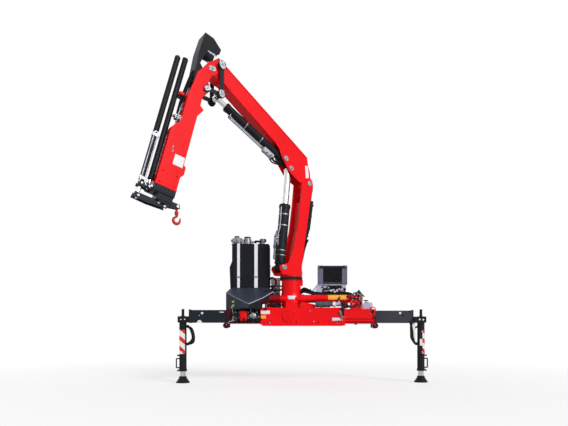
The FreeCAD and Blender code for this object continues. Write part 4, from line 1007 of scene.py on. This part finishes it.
def rack_details():
    kit = Kit()
    for side in (-1, 1):
        for x, out in ((868, EAST), (-559, -EAST)):
            start = base_point(x, side * RACK_FRONT, RACK_HEIGHT)
            kit.turned(start - out * 40 * MM, out, [(0, 52), (2, 56), (38, 56), (42, 52), (42, 30),
                                                    (46, 30),
                                                    (48, 27)], 40)
            for index in range(6):
                angle = 2 * math.pi * index / 6
                spoke = Vector((0, math.cos(angle), math.sin(angle))) * 38 * MM
                kit.bolt(start + out * 2 * MM + spoke, out, 9, 6)
        kit.turned(base_point(-10, side * RACK_FRONT, RACK_HEIGHT), EAST,
                   [(0, 46), (3, 58), (52, 58), (56, 52),
                                                                          (840, 52), (842, 46)], 48)
    kit.keep("rack_jackets", "root", RED)
    # Jackets over the rack's left end and a block below them in darker red: painted shade.
    left = Kit()
    for side in (-1, 1):
        left.turned(base_point(-300, side * RACK_FRONT, RACK_HEIGHT), -EAST,
                    [(0, 46), (2, 52), (218, 52), (220, 46)], 48)
    left.prism([(-450, 252), (-285, 252), (-285, 352), (-330, 352), (-450, 320)], base_point, -100,
               -60, 4)
    left.keep("left_rack_jackets_in_painted_shade", "root", RED_IN_SHADE)
    gusset = Kit()
    gusset.prism([(-10, 252), (206, 252), (196, 300), (60, 332), (-10, 338)], base_point, -150,
                 -100, 4)
    gusset.bolt(base_point(110, -150, 300), FORWARD, 15, 8)
    gusset.keep("rack_gusset", "root", RED)
    dark = Kit()
    dark.hose(base_point, [(-10, -118, 344), (90, -124, 346), (170, -130, 338), (240, -120, 342),
                           (300, -90, 360)], 12)
    for points in (((-470, -120, 262), (-440, -130, 300), (-390, -132, 290), (-340, -128, 320),
                    (-290, -110, 300)),
                   ((-455, -118, 330), (-410, -130, 300), (-360, -130, 268), (-310, -120, 276),
                    (-280, -100, 300))):
        dark.hose(base_point, points, 11)
    dark.keep("under_rack_hoses", "root", RUBBER)
    plate = Kit()
    arc_sheet(plate, base_point(380, -RACK_FRONT, RACK_HEIGHT), EAST, 52.3, 1.2, 113, 205, 274,
              Vector((0, 1, 0)), UP)
    plate.keep("blank_yellow_plate", "root", YELLOW)
    pipes = Kit()
    for x, side in ((836, -1), (836, 1), (-520, -1), (-520, 1)):
        start = base_point(x, side * RACK_FRONT, RACK_HEIGHT + 44)
        pipes.turned(start, UP, [(0, 15), (14, 15), (15, 10), (30, 10)], 6)
    pipes.keep("rack_ports", "root", ZINC)
    hoses = Kit()
    hoses.hose(base_point, [(836, -95, 462), (828, -110, 476), (800, -134, 478), (780, -158, 462),
                            (775, -172, 424)], 10)
    hoses.hose(base_point, [(836, 95, 462), (846, 80, 480), (856, 10, 482), (842, -110, 476),
                            (825, -172, 424)], 10)
    hoses.hose(base_point, [(-520, -95, 462), (-500, -90, 500), (-420, -40, 512), (-340, 60, 470),
                            (-330, 148, 440)], 9)
    hoses.keep("rack_hoses", "root", RUBBER)


TANK_SECTIONS = (
    # left, right
    (-1000, -934), (-880, -684), (-620, -462),
)


def tank_details():
    kit = Kit()
    for low, high in TANK_SECTIONS:
        kit.block(base_point, (low, 52, 520), (high, 62, 1172), 8)
        kit.block(base_point, (low + 14, 334, 520), (high - 8, 344.5, 1150), 8)
    kit.block(base_point, (-1012, 66, 1184), (-470, 334, 1196), 5)
    kit.turned(base_point(-785, 190, 1190), UP, [(0, 84), (8, 84), (14, 74), (18, 66)], 40)
    kit.turned(base_point(-556, 190, 1190), UP, [(0, 60), (8, 60), (14, 50), (18, 40)], 40)
    kit.keep("tank_mouldings", "root", PLASTIC)

    straps = Kit()
    for x, width in ((-907, 40), (-652, 50)):
        for y, out in ((52, FORWARD),):
            straps.block(base_point, (x - width / 2 - 5, y - 4, 700),
                         (x + width / 2 + 5, y + 2, 724), 1)
            straps.bolt(base_point(x, y - 4, 712), out, 12, 7)
        straps.bar(base_point(x, 60, 1199), base_point(x, 340, 1199), 5)
        for z in (520, 540):
            straps.bolt(base_point(x, 54, z), FORWARD, 13, 8)
    straps.keep("strap_buckles", "root", ZINC)

    caps = Kit()
    for step in range(20):
        angle = 2 * math.pi * step / 20
        caps.turned(base_point(-933 + 76 * math.cos(angle), 190 + 76 * math.sin(angle), 1232), UP,
                    [(0, 7), (48, 7), (50, 4)], 8)
    caps.turned(base_point(-933, 190, 1290), UP, [(0, 70), (4, 66), (6, 40), (8, 38)], 40)
    for step in range(4):
        angle = math.pi / 4 + math.pi * step / 2
        caps.bolt(base_point(-785 + 48 * math.cos(angle), 190 + 48 * math.sin(angle), 1281), UP, 13, 8)
    caps.turned(base_point(-785, 190, 1204), UP, [(0, 66), (3, 70), (14, 70), (16, 66)], 40)
    caps.turned(base_point(-720, 190, 1240), EAST, [(0, 20), (18, 20), (19, 13), (40, 13), (41, 9)], 6)
    caps.turned(base_point(-1005, 190, 1262), -EAST, [(0, 18), (22, 18), (24, 12)], 6)
    caps.keep("cap_fittings", "root", ZINC)

    dark = Kit()
    dark.turned(base_point(-785, 190, 1296), UP, [(0, 47), (2, 50), (14, 50), (18, 46), (20, 30)], 28)
    for step in range(12):
        angle = 2 * math.pi * step / 12
        dark.turned(base_point(-556 + 44 * math.cos(angle), 190 + 44 * math.sin(angle), 1240), UP,
                    [(0, 6), (38, 6), (40, 4)], 8)
    dark.turned(base_point(-556, 190, 1280), UP, [(0, 46), (4, 42), (6, 20)], 28)
    dark.turned(base_point(-940, 190, 1310), UP, [(0, 38), (12, 38), (16, 32), (17, 14)], 24)
    dark.keep("cap_tops", "root", BLACK)

    hoses = Kit()
    hoses.hose(base_point, [(-678, 190, 1240), (-640, 212, 1256), (-602, 262, 1250),
                            (-590, 300, 1196)], 15)
    hoses.keep("tank_hoses", "root", RUBBER)

    gauge = Kit()
    gauge.block(base_point, (-452, 150, 620), (-445, 176, 900), 2)
    gauge.turned(base_point(-448, 163, 640), EAST, [(0, 10), (6, 10), (8, 7)], 6)
    gauge.turned(base_point(-448, 163, 880), EAST, [(0, 10), (6, 10), (8, 7)], 6)
    gauge.keep("level_gauge", "root", ZINC)


def plate_hoses():
    """The hoses on the plate behind the post, between the tank and the column."""
    fittings = Kit()
    for x in (-408, -368, -328):
        for z in (470, 560):
            fittings.turned(base_point(x, 150, z), FORWARD,
                            [(0, 16), (12, 16), (13, 11), (34, 11), (36, 8)], 6)
    fittings.keep("plate_fittings", "root", ZINC)
    hoses = Kit()
    hoses.hose(base_point, [(-452, 110, 560), (-455, 90, 650), (-430, 80, 703), (-388, 78, 692),
                            (-362, 80, 645), (-378, 84, 590), (-412, 92, 545),
                            (-440, 110, 500)], 11)
    hoses.hose(base_point, [(-445, 100, 575), (-380, 78, 582), (-320, 64, 580),
                            (-258, 50, 572)], 10)
    hoses.hose(base_point, [(-440, 80, 530), (-360, 50, 518), (-300, 34, 520),
                            (-262, 26, 530)], 12)
    hoses.hose(base_point, [(-408, 116, 470), (-420, 60, 440), (-440, -20, 400), (-520, -60, 330),
                            (-600, -120, 300)], 11)
    hoses.keep("plate_hoses", "root", RUBBER)


def valve_bank_details():
    # A black sheet over the housing's face behind the valve bank: painted shade. The six small blocks in front of it
    # are black parts of the bank.
    back = Kit()
    back.block(base_point, (-1000, -207, 34), (-580, -202.4, 233), 2)
    for index in range(6):
        x = -920 + index * 58
        back.block(base_point, (x - 22, -306, 74), (x + 22, -298, 172), 3)
    back.keep("valve_bank_shade_sheet_and_blocks", "root", BLACK)
    # The housing's left end in very dark red: painted shade on red paint in shadow.
    end = Kit()
    end.prism([(-1020, 40), (-1000, 40), (-1000, 233), (-1062, 233), (-1050, 120)], base_point,
              -214, -203, 3)
    end.keep("housing_left_end", "root", RED_IN_DEEP_SHADE)
    silver = Kit()
    for index in range(6):
        x = -920 + index * 58
        silver.turned(base_point(x, -305, 96), FORWARD, [(0, 15), (10, 15), (11, 10), (22, 10),
                                                         (24, 7)], 6)
        silver.turned(base_point(x, -276, 178), UP, [(0, 17), (8, 17), (10, 12), (16, 9)], 16)
    silver.turned(base_point(-676, -300, 131), FORWARD, [(0, 42), (5, 44), (26, 44), (30, 38),
                                                         (31, 24), (38, 22),
                                                        (40, 12), (46, 10)], 36)
    silver.turned(base_point(-676, -318, 70), -UP, [(0, 12), (14, 12), (15, 8), (26, 8)], 6)
    for x, z in ((-950, 120), (-958, 88), (-732, 131), (-600, 120)):
        silver.turned(base_point(x, -290, z), FORWARD, [(0, 13), (12, 13), (13, 9), (30, 9)], 6)
    silver.bar(base_point(-900, -312, 76), base_point(-1010, -330, 52), 7)
    silver.bar(base_point(-950, -282, 150), base_point(-968, -300, 244), 6)
    silver.ball(base_point(-969, -302, 250), 15)
    silver.bar(base_point(-706, -282, 176), base_point(-712, -318, 252), 6)
    silver.ball(base_point(-713, -320, 258), 11)
    silver.keep("valve_bank_fittings", "root", ZINC)
    red = Kit()
    red.block(base_point, (-857, -330, 62), (-760, -303, 201), 8)
    red.turned(base_point(-809, -328, 135), FORWARD, [(0, 40), (8, 40), (12, 34), (12, 20),
                                                      (16, 18)], 32)
    for x in (-846, -771):
        for z in (76, 188):
            red.bolt(base_point(x, -329, z), FORWARD, 10, 6)
    red.keep("red_valve_body", "root", RED)
    hoses = Kit()
    for index in range(6):
        x = -920 + index * 58
        hoses.hose(base_point, [(x, -326, 96), (x + 4, -342, 80), (x + 14, -322, 56),
                                (x + 24, -276, 46), (x + 28, -216, 46)], 9)
    hoses.keep("valve_bank_hoses", "root", RUBBER)
    labels = Kit()

    def cover_side(along, side, z):
        return base_point(along + 62, -206 - side - (along + 1040) * 1.06, z)
    for z in (268, 322):
        labels.prism([(-1040, z), (-1004, z), (-1004, z + 26), (-1040, z + 26)],
                     cover_side, 0.4, 1.6, 0)
    labels.keep("blank_lime_labels", "root", LIME)


def cooler_details():
    fins = Kit()
    for index in range(28):
        z = 594 + index * 8.2
        for y in (-64, 50):
            fins.block(base_point, (314, y, z), (585, y + 14, z + 2.6), 0)
    for index in range(11):
        x = 320 + index * 25
        fins.block(base_point, (x, -60, 592), (x + 5, 60, 822), 0)
    fins.keep("cooler_core", "root", BLACK)
    sides = Kit()
    for low, high in ((242, 314), (585, 662)):
        sides.block(base_point, (low, -68, 592), (high, -60, 820), 3)
        sides.block(base_point, (low, 60, 592), (high, 66, 820), 3)
    for x in (254, 274, 630, 650):
        for z in (620, 720, 800):
            sides.bolt(base_point(x, -68, z), FORWARD, 9, 5)
    sides.keep("cooler_side_plates", "root", SIDE_GREY)
    top = Kit()
    top.block(base_point, (244, -66, 820), (662, 66, 858), 6)
    for x in (262, 292, 610, 642):
        top.turned(base_point(x, -20, 850), UP, [(0, 14), (18, 14), (20, 9)], 6)
    top.turned(base_point(452, 61, 726), Vector((0, 1, 0)),
               [(0, 138), (30, 138), (34, 132), (34, 120), (8, 118)],
               48)
    top.keep("cooler_header", "root", BLACK)
    fan = Kit()
    for index in range(9):
        cosine, sine = math.cos(2 * math.pi * index / 9), math.sin(2 * math.pi * index / 9)

        def blade_place(u, side, v):
            return base_point(452 + u * cosine - v * sine, 78 + side, 726 + u * sine + v * cosine)
        fan.prism([(24, -14), (114, -30), (118, 12), (26, 10)], blade_place, -2, 2, 1)
    fan.turned(base_point(452, 62, 726), Vector((0, 1, 0)), [(0, 40), (26, 40), (32, 34)], 32)
    for radius in (60, 90, 120):
        ring = [base_point(452 + radius * math.cos(a / 16 * math.pi), 98,
                           726 + radius * math.sin(a / 16 * math.pi))
                for a in range(33)]
        fan.sweep(ring, 2.5, 8)
    fan.keep("cooler_fan", "root", PLASTIC)

    bracket = Kit()
    bracket.prism([(160, 500), (190, 500), (262, 592), (262, 606), (236, 606)], base_point, -58,
                  -48, 2)
    bracket.prism([(200, 470), (300, 452), (360, 462), (360, 474), (290, 470), (262, 592), (242, 592)],
                  base_point, -54, -44, 2)
    bracket.prism([(560, 500), (640, 470), (646, 592), (590, 592)], base_point, -56, -46, 2)
    bracket.block(base_point, (300, -62, 534), (420, -54, 566), 3)
    for x in (330, 390, 600, 620):
        bracket.bolt(base_point(x, -62, 550), FORWARD, 13, 7)
    bracket.keep("cooler_bracket_sheets", "root", PALE)
    tray = Kit()
    tray.block(base_point, (300, -42, 470), (588, -36, 590), 4)
    for points in (((296, -48, 560), (380, -58, 520), (470, -60, 560), (560, -52, 500)),
                   ((310, -50, 500), (400, -60, 560), (500, -58, 510), (580, -48, 560)),
                   ((330, -46, 480), (420, -62, 490), (520, -60, 480), (590, -50, 476))):
        tray.hose(base_point, points, 11)
    tray.keep("cooler_drip_tray", "root", BLACK)
    knob = Kit()
    knob.bar(base_point(620, -70, 470), base_point(620, -100, 508), 6)
    knob.ball(base_point(620, -104, 516), 21)
    knob.keep("cooler_tap_knob", "root", BLACK)


def hose_bundle():
    """The hoses that leave the post's right side and lie along the racks to the valves."""
    hoses = Kit()
    for index, (side, rise) in enumerate(((-78, -14), (-56, 26), (-30, 0), (0, 34), (30, 8),
                                          (60, 28))):
        hoses.hose(base_point, [(-20, side * 0.4, 462), (30, side * 0.8, 500 + rise),
                                (90, side, 492 + rise), (180, side, 462 + rise * 0.6),
                                (300, side, 452 + rise * 0.5), (430, side, 456 + rise * 0.4),
                                (560, side * 0.9, 462 + rise * 0.3), (640, side * 0.8 - 20, 470),
                                (690 + index * 8, -60 + side * 0.5, 450)], 17)
    hoses.keep("post_hose_bundle", "root", RUBBER)
    ties = Kit()
    for x, z in ((130, 496), (380, 464), (520, 470)):
        ties.block(base_point, (x, -92, z - 30), (x + 12, 84, z + 36), 8)
    ties.keep("hose_ties", "root", BLACK)
    fittings = Kit()
    for x, y, z in ((420, -96, 492), (470, -100, 480), (505, -70, 506)):
        fittings.turned(base_point(x, y, z), Vector((0.8, -0.4, 0.3)),
                        [(0, 14), (16, 14), (17, 10), (40, 10),
                                                                      (41, 14), (56, 14)], 6)
    fittings.keep("bundle_fittings", "root", BRIGHT_STEEL)


def right_valve_details():
    silver = Kit()
    for x in (725, 775, 825):
        silver.turned(base_point(x, -172, 356), UP, [(0, 19), (12, 19), (13, 14), (30, 14),
                                                     (31, 17), (46, 17),
                                                    (48, 12)], 6)
        silver.turned(base_point(x, -196, 300), FORWARD, [(0, 16), (10, 16), (11, 11), (24, 11),
                                                          (26, 7)], 6)
    for x in (704, 848):
        for z in (248, 338):
            silver.bolt(base_point(x, -195, z), FORWARD, 13, 7)
    silver.keep("slew_valve_fittings", "root", ZINC)
    red = Kit()
    red.block(base_point, (700, -214, 262), (800, -196, 330), 5)
    red.turned(base_point(750, -213, 296), FORWARD, [(0, 24), (6, 24), (10, 18), (11, 8)], 28)
    red.block(base_point, (716, -160, 352), (812, -120, 402), 6)
    red.keep("slew_valve_covers", "root", RED)
    grey = Kit()
    grey.hose(base_point, [(725, -172, 420), (737, -184, 450), (775, -190, 464), (812, -190, 444),
                           (842, -190, 395), (852, -200, 338), (842, -204, 290),
                           (822, -204, 256)], 11)
    grey.keep("grey_hose", "root", COOLER_GREY)
    dark = Kit()
    dark.bar(base_point(800, -140, 400), base_point(836, -150, 470), 6)
    dark.bar(base_point(817, -150, 492), base_point(893, -158, 408), 8)
    dark.ball(base_point(817, -150, 494), 14)
    dark.bar(base_point(886, -150, 356), base_point(944, -150, 356), 8)
    dark.bar(base_point(915, -150, 330), base_point(915, -150, 356), 6)
    dark.hose(base_point, [(775, -222, 300), (776, -252, 290), (720, -262, 262), (640, -250, 262),
                           (600, -200, 270), (560, -150, 300)], 10)
    dark.hose(base_point, [(825, -222, 300), (830, -246, 320), (770, -250, 372), (690, -200, 392),
                           (650, -140, 420)], 10)
    dark.keep("slew_valve_lever", "root", BLACK)
    plate = Kit()
    for x, z in ((890, 250), (972, 250), (931, 322)):
        plate.bolt(base_point(x, -150, z), FORWARD, 12, 6)
    plate.keep("end_plate_bolts", "root", ZINC)
    pale = Kit()
    pale.prism([(924 + 78 * math.cos(math.pi * step / 16), 234 + 92 * math.sin(math.pi * step / 16))
                for step in range(17)], base_point, -153, -150.2, 1)
    pale.keep("end_plate_face", "root", PALE)


def filter_details():
    kit = Kit()
    z = 300
    kit.turned(base_point(206, -190, z), -EAST, [(0, 40), (5, 36), (8, 22), (9, 10)], 36)
    for x in (228, 300, 380):
        kit.turned(base_point(x, -190, z), EAST, [(0, 42.5), (1, 44), (8, 44), (9, 42.5)], 40)
    kit.keep("filter_bands", "root", SLATE)
    head = Kit()
    head.turned(base_point(440, -190, z), EAST, [(0, 34), (2, 38), (34, 38), (36, 34), (37, 26)], 32)
    head.block(base_point, (478, -222, 262), (486, -160, 338), 2)
    head.keep("filter_head", "root", BRIGHT_STEEL)
    body = Kit()
    body.turned(base_point(486, -190, z), EAST, [(0, 26), (3, 30), (70, 30), (76, 24), (84, 20)], 28)
    body.turned(base_point(530, -190, z + 28), UP, [(0, 12), (12, 12), (14, 8), (26, 8)], 6)
    body.keep("filter_connector", "root", PALE)
    hose = Kit()
    hose.hose(base_point, [(530, -190, 354), (532, -176, 380), (560, -100, 430), (600, -40, 458),
                           (640, 10, 460)], 11)
    hose.hose(base_point, [(570, -190, 300), (630, -188, 298), (660, -176, 280),
                           (690, -172, 262)], 12)
    hose.keep("filter_hoses", "root", RUBBER)


def lock_details():
    kit = Kit()
    kit.bar(base_point(562, -268, 60), base_point(562, -268, 118), 7)
    kit.block(base_point, (548, -280, 112), (600, -256, 126), 3)
    kit.prism([(522, 206), (548, 211), (577, 126), (554, 118)], base_point, -274, -262, 3)
    kit.keep("lock_lever_links", "root", ZINC)
    kit = Kit()
    kit.block(base_point, (578, -276, 214), (598, -258, 320), 5)
    kit.block(base_point, (581, -274, 124), (595, -260, 214), 3)
    kit.keep("lock_lever_handle", "root", BLACK)


def roller_details():
    for name, x, y, out in (("left", -1020 - 36, -100, -1), ("right", 1035 + 36, 100, 1)):
        kit = Kit()
        for side in (-1, 1):
            kit.pin_end(base_point(x, y + side * 97, 12), Vector((0, side, 0)), 9, 6)
        kit.keep(name + "_roller_pins", "root", ZINC)


def housing_details():
    kit = Kit()
    for z in (64, 99):
        kit.block(base_point, (612, -213, z - 3), (1014, -208, z + 3), 1)
    kit.pipe(base_point, [(985, -156, 330), (1004, -156, 300), (1004, -156, 262), (984, -166, 240),
                          (1010, -190, 262), (1032, -196, 256), (1048, -200, 226),
                          (1044, -206, 196)], 6, 14)
    kit.keep("housing_ridges", "root", RED)
    # Dark red strips under the ridges and a dark red block under the housing: painted shadow.
    shade = Kit()
    shade.block(base_point, (612, -210.4, 85), (1014, -209.0, 96), 0.3)
    shade.block(base_point, (612, -210.4, 42), (1014, -202.3, 60), 0.3)
    shade.block(base_point, (748, -205, 11), (785, -180, 30), 3)
    shade.keep("housing_painted_shadow_strips", "root", RED_IN_SHADE)
    dark = Kit()
    dark.prism([(1018, 150), (1046, 110), (1052, 60), (1038, 20), (1030, 20), (1036, 62), (1030, 104),
                (1010, 140)], base_point, -236, -222, 3)
    dark.turned(base_point(1006, -219, 196), FORWARD, [(0, 20), (8, 20), (12, 14)], 24)
    dark.keep("housing_end_catch", "root", BLACK)


def cover_details():
    """Pale strips along the valve cover's folded edges: a painted highlight."""
    kit = Kit()
    corners = [(-1073, -100, 473), (-731, -420, 292), (-545, -255, 385), (-398, -80, 484),
               (-459, 40, 552)]
    path = [base_point(*corner) for corner in corners]
    kit.sweep(path[:2], 3, 8)
    kit.sweep(path[1:4], 6, 8)
    kit.keep("cover_edge_highlights", "root", PALE)


# leg name, middle x, middle y, side of the hoses
LEGS = (("left", -1689.0, -90.0, 1), ("right", 1738.0, 20.0, -1))


def leg_details():
    for name, x, y, inner in LEGS:
        beam, leg = name + "_beam", name + "_leg"
        sign = Kit()
        if inner > 0:
            sign.block(base_point, (x - 40.5, y - 63, -400.5), (x + 40.5, y - 61.2, -59.5), 0.4)
        else:
            sign.block(base_point, (x + 8, y - 63, -400.5), (x + 40.5, y - 61.2, -59.5), 0.4)
        sign.keep(name + "_warning_stripes", beam, STRIPES)
        bolts = Kit()
        for z in (-84, -376):
            bolts.bolt(base_point(x, y - 61.5, z), FORWARD, 10, 4)
        for dx, z in ((-18 * inner, 87), (34 * inner, 90)):
            bolts.bolt(base_point(x + dx, y - 64, z), FORWARD, 17, 9)
        bolts.keep(name + "_leg_bolts", beam, BRIGHT_STEEL)
        cleats = Kit()
        out = -inner
        for z in (-425, -640):
            a, b = sorted((x + out * 50, x + out * 84))
            cleats.block(base_point, (a, y - 14, z - 10), (b, y + 14, z + 10), 3)
        cleats.turned(base_point(x, y, 118), UP, [(0, 53), (4, 58), (14, 58), (18, 50), (20, 24),
                                                  (34, 22), (36, 18)],
                      36)
        cleats.turned(base_point(x, y, -652), UP, [(0, 46), (3, 57), (34, 57), (38, 53)], 40)
        cleats.keep(name + "_leg_collars", beam, BLACK)
        rubber = Kit()
        if inner > 0:
            for dy, r, dx in ((-18, 15, 0), (14, 16, 14)):
                rubber.hose(base_point, [(-1636, y + dy, -2), (-1583 + dx, y + dy, -43),
                                         (-1552 + dx, y + dy, -130), (-1550 + dx, y + dy, -207),
                                         (-1574 + dx, y + dy, -247), (-1634, y + dy, -264)], r)
        else:
            for dy, r, dx in ((-18, 15, 0), (14, 16, 24)):
                rubber.hose(base_point, [(1592 + dx, y + dy, 42), (1590 + dx, y + dy, -24),
                                         (1592 + dx, y + dy, -100), (1598 + dx, y + dy, -166),
                                         (1640 + dx * 0.5, y + dy, -245), (1684, y + dy, -262)], r)
        rubber.keep(name + "_leg_hoses", beam, RUBBER)
        foot = Kit()
        foot.turned(base_point(x, y, -742), UP, [(0, 54), (4, 59), (12, 59), (16, 50), (19, 45),
                                                 (23, 41)], 36)
        foot.keep(name + "_foot_joint", leg, BLACK)
        pad = Kit()
        for index in range(8):
            angle = math.pi * (index + 0.5) / 4
            spoke = Vector((math.cos(angle), math.sin(angle), 0))
            pad.bolt(base_point(x, y, -802) + spoke * 84 * MM, UP, 11, 6)
        pad.turned(base_point(x, y, -815.8), UP, [(0, 94), (4, 97), (10, 97), (12, 95)], 48)
        pad.keep(name + "_pad_rim", leg, PLASTIC)
    strip = Kit()
    strip.prism([(1604, 38), (1650, 38), (1655, -205), (1640, -205)], base_point, 0, 6, 2)
    strip.prism([(1708, -285), (1745, -285), (1745, -190), (1708, -190)], base_point, -43, -41.2, 0.4)
    strip.keep("right_leg_plates", "right_beam", WHITE)


def beam_details():
    for name, front, hole, mark in (("left", -189.2, (-1400, 175), (-1439, 144)),
                                    ("right", 10.8, (1434, 185), (1479, 146))):
        kit = Kit()
        kit.turned(base_point(hole[0], front, hole[1]), FORWARD, [(0, 17), (1.2, 17), (1.6, 16)], 28)
        if name == "left":
            kit.block(base_point, (-1155, front - 0.8, 183), (-1093, front, 196), 0.3)
            kit.turned(base_point(mark[0], front, mark[1]), FORWARD, [(0, 6), (1.2, 6)], 16)
            kit.prism([(-1477, 37.5), (-1395, 37.5), (-1404, 56), (-1422, 76), (-1452, 78),
                       (-1470, 58)],
                      base_point, front - 1.2, front, 0.3)
        kit.keep(name + "_beam_marks", name + "_beam", WHITE)
        dark = Kit()
        if name == "right":
            dark.turned(base_point(mark[0], front, mark[1]), FORWARD,
                        [(0, 15), (1.4, 15), (1.8, 14)], 24)
        end = -1575 if name == "left" else 1615
        away = -1 if name == "left" else 1
        for z in (56, 208):
            dark.bolt(base_point(end - away * 40, front, z), FORWARD, 15, 8)
        dark.keep(name + "_beam_bolts", name + "_beam", BLACK)


bpy.context.scene.view_settings.view_transform = "Standard"
dress_nodes()
column_details()
pin_keepers()
lift_cylinder_details()
inner_boom_details()
fold_cylinder_details()
outer_boom_details()
extension_details()
hook_details()
base_details()
post_details()
rack_details()
tank_details()
plate_hoses()
valve_bank_details()
cooler_details()
hose_bundle()
right_valve_details()
filter_details()
lock_details()
roller_details()
housing_details()
cover_details()
leg_details()
beam_details()
make_stage()
make_camera()
